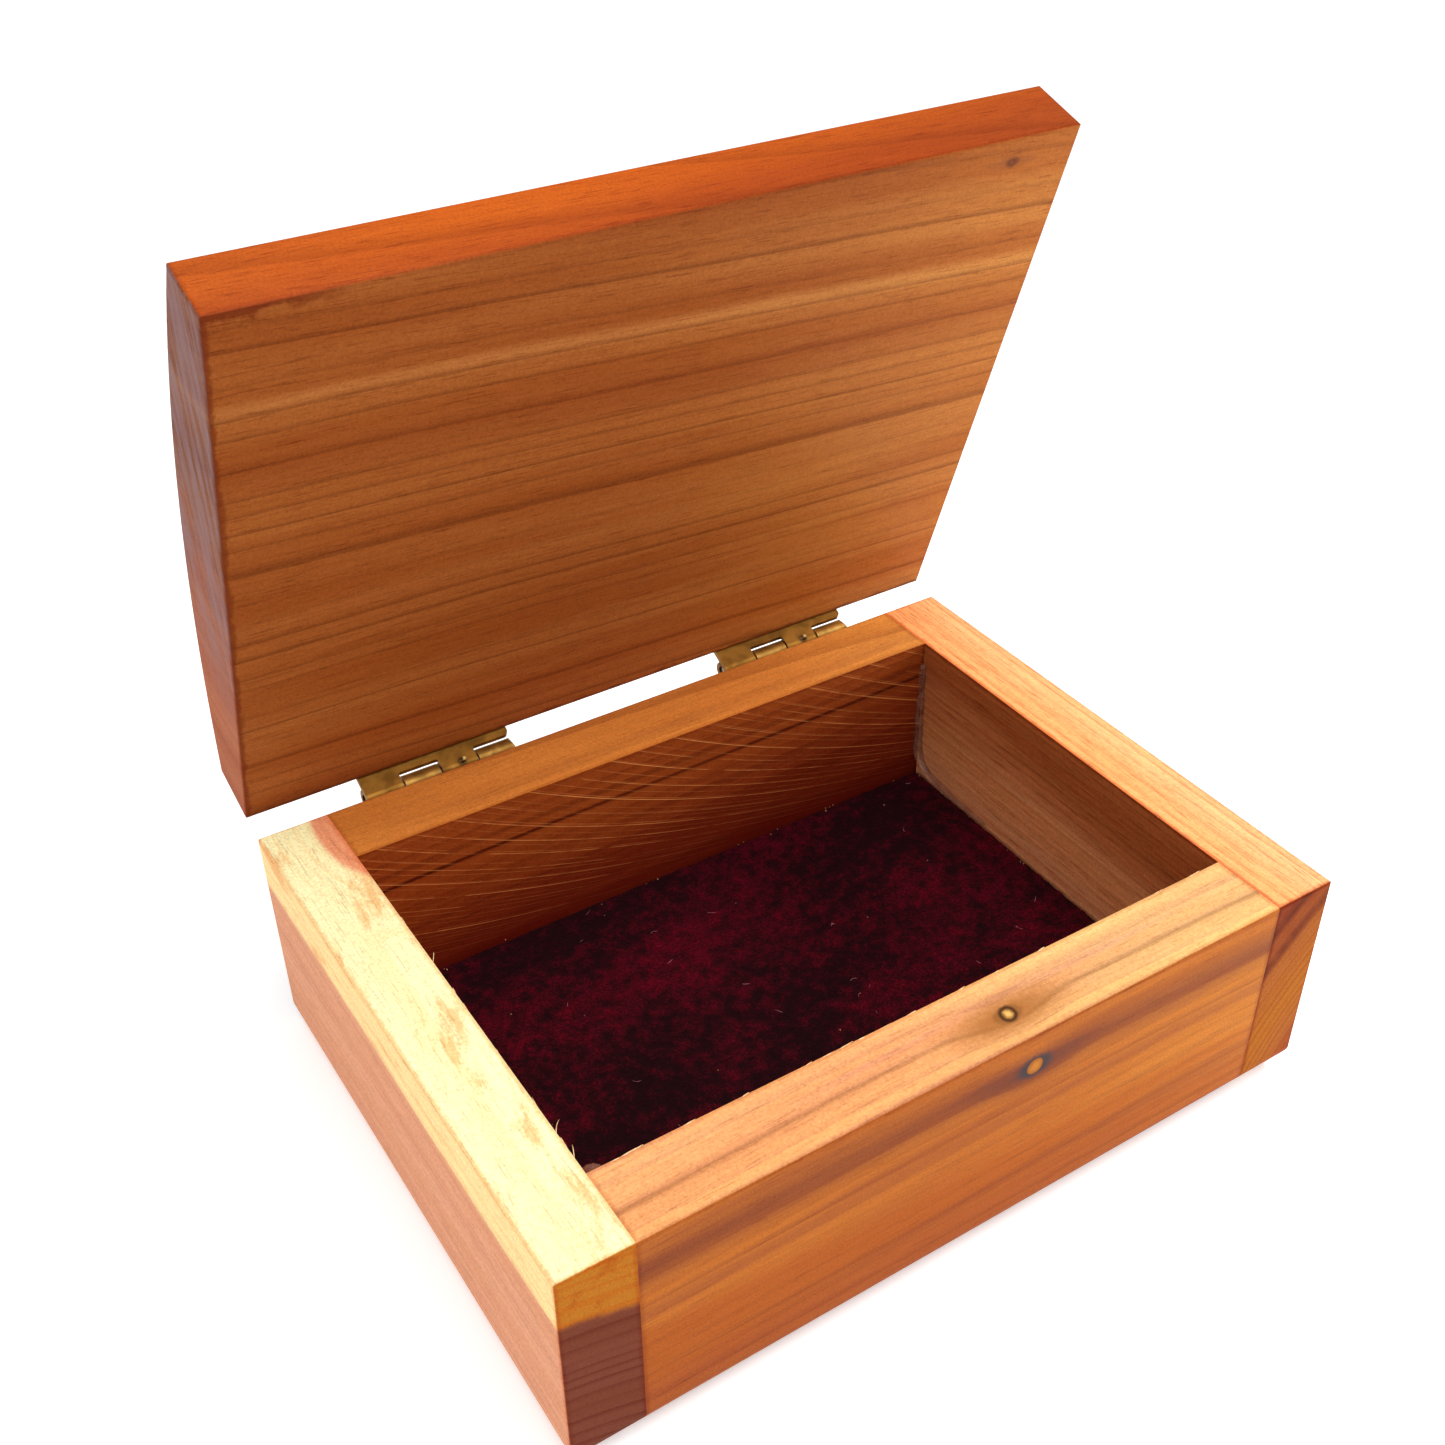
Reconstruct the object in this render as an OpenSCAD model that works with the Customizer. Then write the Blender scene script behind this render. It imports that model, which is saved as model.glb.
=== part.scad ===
// Lacquered cedar keepsake box: four boards glued up round an inset bottom,
// a velvet-covered card floor and a domed one-board lid on two rolled brass hinges.
// Millimetres, +Z up, the front faces -Y. The origin is the middle of the underside.

/* [Box] */
// Length of the box, left to right
box_l = 152.4; // [126:0.1:200]
// Depth of the box, front to back
box_d = 113; // [90:0.5:160]
// Height of the box without its lid
box_h = 45; // [36:0.5:80]
// Thickness of the two end boards, which run the full depth
end_t = 13; // [10:0.5:18]
// Thickness of the front and back boards, which stand between the end boards
rail_t = 14.5; // [12:0.5:18]
// Radius of the roundover along the foot of the box
foot_round = 5; // [2:0.5:9]
// Radius of the sanded arrises
ease = 0.6; // [0.3:0.1:1]

/* [Floor] */
// Thickness of the bottom panel, set in flush with the underside
bottom_t = 9.5; // [6:0.5:12]
// Thickness of the card that carries the velvet
card_t = 1.5; // [1:0.1:2.5]
// Thickness of the velvet, pile included
velvet_t = 1.5; // [1:0.1:2.5]
// Space round the card and the velvet
lining_gap = 0.4; // [0.3:0.1:1]

/* [Lid] */
// Thickness of the lid along its front and back edges
lid_edge_t = 12; // [10:0.5:15]
// Height that the dome adds in the middle of the lid
dome_rise = 7.2; // [4:0.2:9]
// Space between the rim and the closed lid
lid_gap = 0.4; // [0.3:0.1:0.8]
// Distance by which the lid stands out behind the back of the box
lid_overhang = 0.5; // [0:0.1:1]
// Angle at which the lid stands open, from closed
open_angle = 71.7; // [60:0.1:100]

/* [Hinges] */
// Distance between the middles of the two hinges
hinge_spacing = 78.8; // [56:0.2:90]
// Length of one hinge
hinge_l = 30.6; // [24:0.2:36]
// Thickness of the hinge sheet
leaf_t = 0.9; // [0.7:0.05:1.1]
// Height of each leaf's flat, which is nailed to the wood
leaf_flat = 8.4; // [7:0.2:10]
// Radius of the hinge pin
pin_r = 1.05; // [0.9:0.05:1.25]
// Running clearance round the pin
pin_clear = 0.05; // [0.02:0.01:0.1]
// Distance of the pin's axis behind the back of the box
pin_back = 3.15; // [3.1:0.05:3.6]
// Distance of the pin's axis below the rim of the box
pin_drop = 2.7; // [2.6:0.1:3.2]
// Clear space between one knuckle and the next
knuckle_gap = 0.4; // [0.2:0.05:0.6]
// Clear space between a knuckle and the edge of its window
window_clear = 0.25; // [0.2:0.05:0.4]

/* [Nails] */
// Distance between the two nails of a leaf
nail_spacing = 19; // [14:0.5:24]
// Radius of a nail's shank
nail_r = 0.6; // [0.4:0.05:0.8]
// Radius of a nail's round head
nail_head_r = 1.35; // [1:0.05:1.5]
// Height of a nail's head
nail_head_h = 0.8; // [0.5:0.05:0.9]
// Length of a nail below its head
nail_l = 9.5; // [7:0.5:11]

/* [Hidden] */

$fn = 64;
// How far a cutting shape runs past what it cuts
past = 1;

cedar = "peru";
cedar_pale = "burlywood";
cedar_dark = "sienna";
brass = "darkgoldenrod";
steel = "silver";
wine = "darkred";
grey_card = "gainsboro";

// Box, inside and out
half_l = box_l / 2;
half_d = box_d / 2;
room_l = box_l - 2 * end_t;
room_d = box_d - 2 * rail_t;
card_top = bottom_t + card_t;

// Lid, as it lies closed: its underside, its two long edges and its dome
lid_under = box_h + lid_gap;
lid_back = half_d + lid_overhang;
lid_front = -half_d;
lid_d = lid_back - lid_front;
lid_mid = (lid_back + lid_front) / 2;
lid_top = lid_under + lid_edge_t + dome_rise;
dome_r = (pow(lid_d / 2, 2) + pow(dome_rise, 2)) / (2 * dome_rise);

// Hinge pin's axis, and what is measured from it
pin_y = half_d + pin_back;
pin_z = box_h - pin_drop;
bore_r = pin_r + pin_clear;
knuckle_r = bore_r + leaf_t;
lid_face = lid_back - pin_y;
box_face = half_d - pin_y;
arris_z = lid_under - pin_z;
window_z = knuckle_r - 0.5 + window_clear;
// Distance from the pin at which each leaf leaves the wood and turns towards the knuckles
lid_bend_z = arris_z + 0.3;
box_bend_z = knuckle_r + 2.2;
segment = hinge_l / 4;
leaf_corner = 1;
window_corner = 0.5;
strip_corner = 1;
barrel_corner = 0.8;
// Width of the slit where the rolled sheet's edge comes round to the leaf
roll_slit = 0.25;
// How far the roll runs up into the flange before the slit opens
roll_lap = 0.3;
pin_recess = 0.4;
pin_chamfer = 0.25;
stake_r = 0.7;
stake_depth = 0.35;
stake_x = 0.58 * segment;
stake_z = -0.3;
pilot_clear = 0.02;
leaf_hole_r = nail_r + 0.15;

// What is left of a square corner of side r outside its round
module corner_waste(r) {
    difference() {
        translate([-past, -past]) square(r + past);
        translate([r, r]) circle(r);
    }
}

// Rectangle on the X axis, w wide and h high, with its own radius at foot and top
module soft_rect(w, h, foot_r, top_r) {
    difference() {
        translate([-w / 2, 0]) square([w, h]);
        for (side = [0, 1]) mirror([side, 0]) {
            translate([-w / 2, 0]) corner_waste(foot_r);
            translate([-w / 2, h]) mirror([0, 1]) corner_waste(top_r);
        }
    }
}

// Draws a profile of the YZ plane through a length along X, centred on X
module along_x(length) {
    rotate([90, 0, 90]) linear_extrude(length, center = true) children();
}

// Draws a profile of the XZ plane through a depth along Y, centred on Y
module along_y(depth) {
    rotate([90, 0, 0]) linear_extrude(depth, center = true) children();
}

// The glued-up box's outer form: rounded foot on all four sides, eased rim and corners
module outer_form() {
    intersection() {
        along_y(box_d) soft_rect(box_l, box_h, foot_round, ease);
        along_x(box_l) soft_rect(box_d, box_h, foot_round, ease);
        linear_extrude(box_h) translate([0, -half_d]) soft_rect(box_l, box_d, ease, ease);
    }
}

// One board: the slab of the outer form between two corners
module board(low, high) {
    intersection() {
        outer_form();
        translate(low) cube(high - low);
    }
}

module end_board(side) {
    inner = side * (half_l - end_t);
    outer = side * (half_l + past);
    board([min(inner, outer), -half_d - past, -past], [max(inner, outer), half_d + past, box_h + past]);
}

module front_board() {
    board([-room_l / 2, -half_d - past, -past], [room_l / 2, -half_d + rail_t, box_h + past]);
}

// The back board, with a pilot hole for each nail of the box leaves
module back_board() {
    difference() {
        board([-room_l / 2, half_d - rail_t, -past], [room_l / 2, half_d + past, box_h + past]);
        both_hinges() box_nail_places() nail_pilot();
    }
}

module bottom_panel() {
    translate([-room_l / 2, -room_d / 2, 0]) cube([room_l, room_d, bottom_t]);
}

// A flat sheet of the floor, clear of the four walls
module floor_sheet(thickness) {
    w = room_l - 2 * lining_gap;
    d = room_d - 2 * lining_gap;
    translate([-w / 2, -d / 2, 0]) cube([w, d, thickness]);
}

// Moves what is drawn in the closed position to where the open lid stands
module opened() {
    translate([0, pin_y, pin_z]) rotate([-open_angle, 0, 0]) translate([0, -pin_y, -pin_z]) children();
}

// The dome turned about its own axis, with its two end arrises eased
module dome_turning() {
    translate([0, lid_mid, lid_top - dome_r]) rotate([0, 90, 0]) rotate_extrude($fn = 180) {
        difference() {
            translate([0, -half_l]) square([dome_r, box_l]);
            for (side = [0, 1]) mirror([0, side])
                translate([dome_r, -half_l]) mirror([1, 0]) corner_waste(ease);
        }
    }
}

// What easing takes off where the dome comes down to a long edge, from the dome's axis
module dome_arris_waste() {
    inner = lid_d / 2 - ease;
    level = sqrt(pow(dome_r - ease, 2) - pow(inner, 2));
    touch = atan2(level, inner);
    difference() {
        polygon([
            [lid_d / 2, level], [lid_d / 2 + past, level],
            on_circle(dome_r + past, touch), on_circle(dome_r, touch)
        ]);
        translate([inner, level]) circle(ease);
    }
}

// Profile of the lid across its length, open above where the dome bounds it
module lid_profile(height) {
    difference() {
        soft_rect(lid_d, height, ease, ease);
        for (side = [0, 1]) mirror([side, 0])
            translate([0, lid_edge_t + dome_rise - dome_r]) dome_arris_waste();
    }
}

// The lid's blank before the dome is turned: a slab with eased arrises
module lid_blank() {
    blank_h = lid_edge_t + dome_rise + past;
    translate([0, lid_mid, lid_under]) intersection() {
        along_x(box_l + 2 * past) lid_profile(blank_h);
        along_y(lid_d + 2 * past) soft_rect(box_l, blank_h, ease, ease);
        translate([0, -lid_d / 2, 0]) linear_extrude(blank_h) soft_rect(box_l, lid_d, ease, ease);
    }
}

module lid_board() {
    difference() {
        intersection() {
            lid_blank();
            dome_turning();
        }
        both_hinges() lid_nail_places() nail_pilot();
    }
}

// Draws a hinge piece, made round the pin's axis, at one hinge or at both
module at_hinge(side) {
    translate([side * hinge_spacing / 2, pin_y, pin_z]) children();
}

module both_hinges() {
    for (side = [-1, 1]) at_hinge(side) children();
}

// Angle at which the line from a bend of the leaf touches the front of the knuckle
function touch_angle(bend) = atan2(bend[1], bend[0]) + acos(knuckle_r / norm(bend));
function on_circle(r, angle) = [r * cos(angle), r * sin(angle)];
// Outer corner of the sheet at its bend, between the flat and the flange
function bend_corner(bend, angle) =
    bend + leaf_t * ([1, 0] - on_circle(1, angle)) / (1 - cos(angle));

// Section of a leaf that stands above its pin: flat on the wood, cranked flange and
// rolled knuckle. face is where the wood is, bend_z where the flange starts.
module leaf_section(face, bend_z) {
    bend = [face, bend_z];
    touch = touch_angle(bend);
    polygon([
        bend, on_circle(knuckle_r, touch), on_circle(bore_r, touch),
        bend_corner(bend, touch), bend + [leaf_t, leaf_flat], bend + [0, leaf_flat]
    ]);
    difference() {
        circle(knuckle_r);
        circle(bore_r);
        rotate(touch) mirror([0, 1]) translate([bore_r - roll_slit, roll_lap])
            square([roll_slit + leaf_t + past, knuckle_r]);
    }
}

// Stretches of the hinge's length, as [from, to] from its middle; the lid has 1 and 3
function stretch(i) = [-hinge_l / 2 + (i - 1) * segment, -hinge_l / 2 + i * segment];

// Room for the other leaf's knuckle i: the roll's own space, and a window cut square
// through the sheet. Its corners are round, and at the leaf's end so is the strip's.
module knuckle_window(i) {
    x0 = i == 1 ? -hinge_l / 2 - past : stretch(i)[0] - knuckle_gap / 2;
    x1 = i == 4 ? hinge_l / 2 + past : stretch(i)[1] + knuckle_gap / 2;
    depth = knuckle_r + past;
    translate([x0, 0, 0]) rotate([0, 90, 0]) cylinder(r = knuckle_r + window_clear, h = x1 - x0);
    along_y(4 * knuckle_r) {
        difference() {
            translate([x0, -depth]) square([x1 - x0, window_z + depth]);
            if (i > 1) translate([x0, window_z]) mirror([0, 1]) corner_waste(window_corner);
            if (i < 4) translate([x1, window_z]) mirror([1, 0]) mirror([0, 1]) corner_waste(window_corner);
        }
        if (i == 1) translate([-hinge_l / 2, window_z]) corner_waste(strip_corner);
        if (i == 4) translate([hinge_l / 2, window_z]) mirror([1, 0]) corner_waste(strip_corner);
    }
}

// Outline of a leaf seen from behind: round corners on the flat and at the knuckles' far side
module leaf_outline(bend_z) {
    low = -knuckle_r - past;
    along_y(8 * knuckle_r) difference() {
        translate([-hinge_l / 2, low]) square([hinge_l, bend_z + leaf_flat - low]);
        for (side = [0, 1]) mirror([side, 0]) {
            translate([-hinge_l / 2, bend_z + leaf_flat]) mirror([0, 1]) corner_waste(leaf_corner);
            translate([-hinge_l / 2, -knuckle_r]) corner_waste(barrel_corner);
        }
    }
}

// A whole leaf above its pin; other lists the stretches of the other leaf's knuckles
module leaf(face, bend_z, other) {
    difference() {
        intersection() {
            along_x(hinge_l) leaf_section(face, bend_z);
            leaf_outline(bend_z);
        }
        for (i = other) knuckle_window(i);
    }
}

// The lid leaf, with the punch mark that stakes the pin in its second knuckle
module lid_leaf() {
    difference() {
        leaf(lid_face, lid_bend_z, [2, 4]);
        lid_nail_places() leaf_hole();
        translate([stake_x, -knuckle_r - stake_r + stake_depth, stake_z]) sphere(stake_r);
    }
}

// The box leaf is the same fold turned over, hanging below the pin
module box_leaf() {
    difference() {
        mirror([0, 0, 1]) leaf(box_face, box_bend_z, [1, 3]);
        box_nail_places() leaf_hole();
    }
}

// The pin, a little short of the knuckles and chamfered at both ends
module hinge_pin() {
    half = hinge_l / 2 - pin_recess;
    tip_r = pin_r - pin_chamfer;
    straight = half - pin_chamfer;
    rotate([0, 90, 0]) rotate_extrude()
        polygon([[0, -half], [tip_r, -half], [pin_r, -straight], [pin_r, straight], [tip_r, half], [0, half]]);
}

// Places of a leaf's two nails: origin on the leaf's outer face, +Z out of the wood
module lid_nail_places() {
    for (side = [-1, 1])
        translate([side * nail_spacing / 2, lid_face + leaf_t, lid_bend_z + 0.55 * leaf_flat])
            rotate([-90, 0, 0]) children();
}

module box_nail_places() {
    for (side = [-1, 1])
        translate([side * nail_spacing / 2, box_face + leaf_t, -box_bend_z - 0.55 * leaf_flat])
            rotate([-90, 0, 0]) children();
}

module nail() {
    cap_r = (pow(nail_head_r, 2) + pow(nail_head_h, 2)) / (2 * nail_head_h);
    translate([0, 0, -nail_l]) cylinder(r = nail_r, h = nail_l);
    intersection() {
        translate([0, 0, nail_head_h - cap_r]) sphere(cap_r);
        cylinder(r = nail_head_r + past, h = nail_head_h + past);
    }
}

module nail_pilot() {
    translate([0, 0, -nail_l - pilot_clear]) cylinder(r = nail_r + pilot_clear, h = nail_l + past);
}

module leaf_hole() {
    cylinder(r = leaf_hole_r, h = 4 * leaf_t, center = true);
}

module left_end_board() { color(cedar_pale) end_board(-1); }
module right_end_board() { color(cedar_pale) end_board(1); }
module lining_card() { color(grey_card) translate([0, 0, bottom_t]) floor_sheet(card_t); }
module velvet_lining() { color(wine) translate([0, 0, card_top]) floor_sheet(velvet_t); }
module hinge_box_leaf(side) { color(brass) at_hinge(side) box_leaf(); }
module hinge_lid_leaf(side) { color(brass) opened() at_hinge(side) lid_leaf(); }
module hinge_pin_at(side) { color(steel) opened() at_hinge(side) hinge_pin(); }
module hinge_box_nails(side) { color(brass) at_hinge(side) box_nail_places() nail(); }
module hinge_lid_nails(side) { color(brass) opened() at_hinge(side) lid_nail_places() nail(); }

left_end_board();
right_end_board();
color(cedar) front_board();
color(cedar) back_board();
color(cedar_dark) bottom_panel();
lining_card();
velvet_lining();
color(cedar) opened() lid_board();
hinge_box_leaf(-1);  // left_hinge_box_leaf
hinge_lid_leaf(-1);  // left_hinge_lid_leaf
hinge_pin_at(-1);  // left_hinge_pin
hinge_box_nails(-1);  // left_hinge_box_nails
hinge_lid_nails(-1);  // left_hinge_lid_nails
hinge_box_leaf(1);  // right_hinge_box_leaf
hinge_lid_leaf(1);  // right_hinge_lid_leaf
hinge_pin_at(1);  // right_hinge_pin
hinge_box_nails(1);  // right_hinge_box_nails
hinge_lid_nails(1);  // right_hinge_lid_nails
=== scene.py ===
import logging
import math
import random
from dataclasses import dataclass, field
from enum import Enum
from typing import Any, Callable, Dict, List, Optional, Sequence, Tuple, Union

import bpy
from mathutils import Matrix, Vector


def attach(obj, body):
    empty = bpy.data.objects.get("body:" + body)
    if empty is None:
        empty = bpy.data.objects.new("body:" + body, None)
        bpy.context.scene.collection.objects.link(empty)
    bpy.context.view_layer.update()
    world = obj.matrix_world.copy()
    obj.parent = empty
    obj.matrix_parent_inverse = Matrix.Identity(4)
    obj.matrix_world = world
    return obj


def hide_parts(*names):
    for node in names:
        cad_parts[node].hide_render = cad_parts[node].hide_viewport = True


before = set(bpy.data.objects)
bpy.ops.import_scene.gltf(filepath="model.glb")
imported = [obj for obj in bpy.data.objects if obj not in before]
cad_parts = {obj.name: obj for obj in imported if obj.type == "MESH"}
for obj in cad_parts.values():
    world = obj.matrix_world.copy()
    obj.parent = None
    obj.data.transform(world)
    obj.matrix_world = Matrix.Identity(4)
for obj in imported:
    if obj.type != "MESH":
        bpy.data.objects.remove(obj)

log = logging.getLogger("keepsake_box")

Triple = Tuple[float, float, float]
Colour = Tuple[float, float, float, float]
Piece = bpy.types.Object
Material = bpy.types.Material
MM = 0.001

# The box as built, in millimetres: what the finishes and the added pieces line up with
BOX_L, BOX_D, BOX_H = 152.4, 113.0, 45.0
END_T, RAIL_T = 13.0, 14.5
ROOM_X, ROOM_Y = BOX_L / 2 - END_T, BOX_D / 2 - RAIL_T
VELVET_TOP = 12.5
LID_UNDER, LID_TOP = 45.4, 64.6
LID_OVERHANG = 0.5
OPEN_ANGLE = 71.7
PIN_Y, PIN_Z = 59.65, 42.3

# The ways that faces look and lines run
LEFT, RIGHT, FRONT, BACK = (-1, 0, 0), (1, 0, 0), (0, -1, 0), (0, 1, 0)
DOWN, UP = (0, 0, -1), (0, 0, 1)

# Middles of the knots and of the punch marks that stake the pins
TOP_EYE, FRONT_EYE, LID_EYE = (8.2, -50.5, 45.0), (9.6, -56.5, 37.7), (62.5, -51.8, 45.4)
PUNCH_LEFT, PUNCH_RIGHT = (-35.0, 58.65, 44.05), (43.8, 58.65, 44.05)


class Grain(Enum):
    """The way the fibres of a board run, as the box lies closed."""

    ALONG_X = 0.0
    ALONG_Y = 90.0


def paint(red: int, green: int, blue: int) -> Colour:
    """Turn a colour as a painter mixes it, 0 to 255, into the linear one that shaders use.

    Args:
        red: Red share.
        green: Green share.
        blue: Blue share.

    Returns:
        The linear colour with full alpha.
    """

    def linear(share: int) -> float:
        """One share as a linear value."""
        value = share / 255
        return value / 12.92 if value <= 0.04045 else ((value + 0.055) / 1.055) ** 2.4

    return (linear(red), linear(green), linear(blue), 1.0)


# ---- shader bench


def operator(operation: str, swapped: bool = False) -> Callable[..., "Signal"]:
    """Make a method that adds one Math node.

    Args:
        operation: What the node does.
        swapped: Whether the other value comes first.

    Returns:
        The method.
    """

    def method(signal: "Signal", other: "Number" = 0.0) -> "Signal":
        """Add the node.

        Args:
            signal: One value.
            other: The other value.

        Returns:
            The result.
        """
        values = (other, signal) if swapped else (signal, other)
        settings = {"operation": operation}
        return signal.bench.node("ShaderNodeMath", settings, dict(enumerate(values)))

    return method


class Signal:
    """The output socket of a shader node, with arithmetic on what it carries."""

    def __init__(self, bench: "Bench", socket: bpy.types.NodeSocket) -> None:
        """Wrap one output socket of a bench's material."""
        self.bench = bench
        self.socket = socket

    __add__, __mul__ = operator("ADD"), operator("MULTIPLY")
    __sub__, __rsub__ = operator("SUBTRACT"), operator("SUBTRACT", True)
    __truediv__, __pow__ = operator("DIVIDE"), operator("POWER")
    __abs__, root = operator("ABSOLUTE"), operator("SQRT")
    fraction, whole = operator("FRACT"), operator("FLOOR")
    least, most = operator("MINIMUM"), operator("MAXIMUM")


Number = Union[Signal, float]


class Bench:
    """One material under construction."""

    def __init__(self, name: str) -> None:
        """Start an empty node material.

        Args:
            name: Name of the material.
        """
        self.material = bpy.data.materials.new(name)
        self.material.use_nodes = True
        self.tree = self.material.node_tree
        self.tree.nodes.clear()

    def node(
        self,
        kind: str,
        settings: Optional[Dict[str, Any]] = None,
        inputs: Optional[Dict[Union[int, str], Any]] = None,
        output: Union[int, str] = 0,
    ) -> Signal:
        """Add a node, set it up, then give its sockets their values or links.

        Args:
            kind: Blender's node type.
            settings: The node's own properties.
            inputs: Socket name or index to a plain value or a Signal.
            output: Name or index of the output to return.

        Returns:
            The chosen output.
        """
        node = self.tree.nodes.new(kind)
        for key, value in (settings or {}).items():
            setattr(node, key, value)
        for key, value in (inputs or {}).items():
            if isinstance(value, Signal):
                self.tree.links.new(value.socket, node.inputs[key])
            else:
                node.inputs[key].default_value = value
        return Signal(self, node.outputs[output])

    def place(self) -> Signal:
        """Object coordinates: metres in the frame, and fixed to the piece."""
        return self.node("ShaderNodeTexCoord", output="Object")

    def millimetres(self) -> Signal:
        """Object coordinates in millimetres."""
        return self.scaled(self.place(), (1 / MM, 1 / MM, 1 / MM))

    def normal(self) -> Signal:
        """The surface's normal, in the piece's own axes."""
        return self.node("ShaderNodeTexCoord", output="Normal")

    def within(self, vector: Signal, origin: Triple, turn: Triple, unit: float) -> Signal:
        """Read a place in a set of axes of its own.

        Args:
            vector: Place to read.
            origin: Where the axes' origin is.
            turn: The axes' Euler angles in radians.
            unit: Length of one unit along them.

        Returns:
            The place along those axes.
        """
        return self.node(
            "ShaderNodeMapping",
            {"vector_type": "TEXTURE"},
            {"Vector": vector, "Location": origin, "Rotation": turn, "Scale": (unit, unit, unit)},
        )

    def parts(self, vector: Signal) -> Tuple[Signal, Signal, Signal]:
        """Split a vector into its three numbers."""
        split = self.node("ShaderNodeSeparateXYZ", inputs={0: vector}).socket.node
        return tuple(Signal(self, socket) for socket in split.outputs)

    def vector(self, x: Number, y: Number, z: Number) -> Signal:
        """Join three numbers into a vector."""
        return self.node("ShaderNodeCombineXYZ", inputs={0: x, 1: y, 2: z})

    def vector_maths(
        self, operation: str, one: Any, other: Any = (0, 0, 0), output: int = 0
    ) -> Signal:
        """Add one Vector Math node; output 1 is its number."""
        settings = {"operation": operation}
        return self.node("ShaderNodeVectorMath", settings, {0: one, 1: other}, output)

    def scaled(self, vector: Signal, factors: Triple) -> Signal:
        """A vector with each of its numbers multiplied."""
        return self.vector_maths("MULTIPLY", vector, factors)

    def dot(self, vector: Signal, way: Triple) -> Signal:
        """How far a vector reaches along a way."""
        return self.vector_maths("DOT_PRODUCT", vector, way, 1)

    def length(self, vector: Signal) -> Signal:
        """Length of a vector."""
        return self.vector_maths("LENGTH", vector, output=1)

    def noise(
        self,
        vector: Signal,
        scale: float = 1.0,
        detail: float = 2.0,
        rough: float = 0.5,
        output: str = "Fac",
    ) -> Signal:
        """Smooth noise of a place, from about 0.25 to 0.75 around 0.5."""
        sockets = {"Vector": vector, "Scale": scale, "Detail": detail, "Roughness": rough}
        return self.node("ShaderNodeTexNoise", {"noise_dimensions": "3D"}, sockets, output)

    def cloud(
        self, x: Number, y: Number, z: Number, detail: float = 2.0, rough: float = 0.5
    ) -> Signal:
        """Smooth noise of three numbers."""
        return self.noise(self.vector(x, y, z), 1.0, detail, rough)

    def chance(self, number: Signal) -> Signal:
        """An even random number from 0 to 1 for each whole number."""
        settings = {"noise_dimensions": "1D"}
        return self.node("ShaderNodeTexWhiteNoise", settings, {"W": number}, "Value")

    def step(self, value: Number, low: float, high: float) -> Signal:
        """Rise smoothly from 0 to 1 between two values, or fall if high is the smaller."""
        settings = {"interpolation_type": "SMOOTHSTEP"}
        return self.node("ShaderNodeMapRange", settings, {0: value, 1: low, 2: high})

    def hill(self, value: Signal, centre: float, half: float) -> Signal:
        """A smooth hump, 1 at centre and 0 from half a width away."""
        return self.step(abs(value - centre), half, 0.0)

    def mix(self, factor: Number, low: Any, high: Any, blend: str = "MIX") -> Signal:
        """Blend two colours."""
        settings = {"data_type": "RGBA", "blend_type": blend}
        return self.node("ShaderNodeMix", settings, {0: factor, 6: low, 7: high}, 2)

    def tint(self, factor: Number, colour: Any, tint: Any) -> Signal:
        """Multiply a colour by another, as far as the factor says."""
        return self.mix(factor, colour, tint, "MULTIPLY")

    def bump(self, height: Signal, distance: float, strength: float = 1.0) -> Signal:
        """Turn a height, in the given distance in metres, into a normal."""
        sockets = {"Height": height, "Distance": distance, "Strength": strength}
        return self.node("ShaderNodeBump", inputs=sockets, output="Normal")

    def finish(self, **sockets: Any) -> Material:
        """Close the material with a Principled shader.

        Args:
            **sockets: Principled inputs, with underscores for spaces.

        Returns:
            The finished material.
        """
        named = {key.replace("_", " "): value for key, value in sockets.items()}
        shader = self.node("ShaderNodeBsdfPrincipled", inputs=named)
        output = self.tree.nodes.new("ShaderNodeOutputMaterial")
        self.tree.links.new(shader.socket, output.inputs["Surface"])
        return self.material


# ---- wood

# What multiplies the wood's colour where it is darker or lighter
FIBRE_DARK, FIBRE_LIGHT = (0.6, 0.48, 0.4, 1), (1.25, 1.3, 1.4, 1)
SPECK_DARK, SPECK_LIGHT = (0.66, 0.58, 0.52, 1), (1.3, 1.36, 1.42, 1)
PORE_DARK, PLANED_LIGHT = (0.55, 0.4, 0.32, 1), (1.5, 1.35, 1.2, 1)


@dataclass(frozen=True)
class Band:
    """A streak of another colour that follows the growth rings."""

    radius: float
    half: float
    colour: Colour
    strength: float
    end: Optional[Colour] = None


@dataclass(frozen=True)
class Swell:
    """Rings that bulge round a branch, seen or buried, in millimetres."""

    at: Triple
    along: Triple
    reach: float
    push: float
    stretch: float = 2.2


@dataclass(frozen=True)
class Knot:
    """A pin knot on one face: where its axis passes, which way it runs, its radii and colours."""

    at: Triple
    along: Triple
    facing: Triple
    heart_r: float
    ring_r: float
    spread: float
    heart: Colour
    core: Colour
    ring: Colour
    bruise: Colour
    halo: Colour
    halo_strength: float = 0.7
    bruise_reach: float = 0.9
    bruise_strength: float = 0.85


@dataclass(frozen=True)
class FaceTint:
    """A colour that multiplies the wood on one face, and a second that comes in along a way."""

    facing: Triple
    tint: Colour
    bare: float = 0.0
    far: Colour = (1.0, 1.0, 1.0, 1.0)
    way: Triple = RIGHT
    span: Tuple[float, float] = (-15.0, 84.0)


@dataclass(frozen=True)
class SawArcs:
    """Marks of a round saw on one face: the same arc again and again, a feed apart."""

    facing: Triple
    blade: float
    lowest: float
    feed: float
    colour: Colour
    strength: float
    fade: Tuple[float, float]
    half: float = 0.045


@dataclass(frozen=True)
class PlaneLines:
    """Fine lines that a planer left along one face, as the box lies closed."""

    facing: Triple
    feed: float
    strength: float


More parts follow.
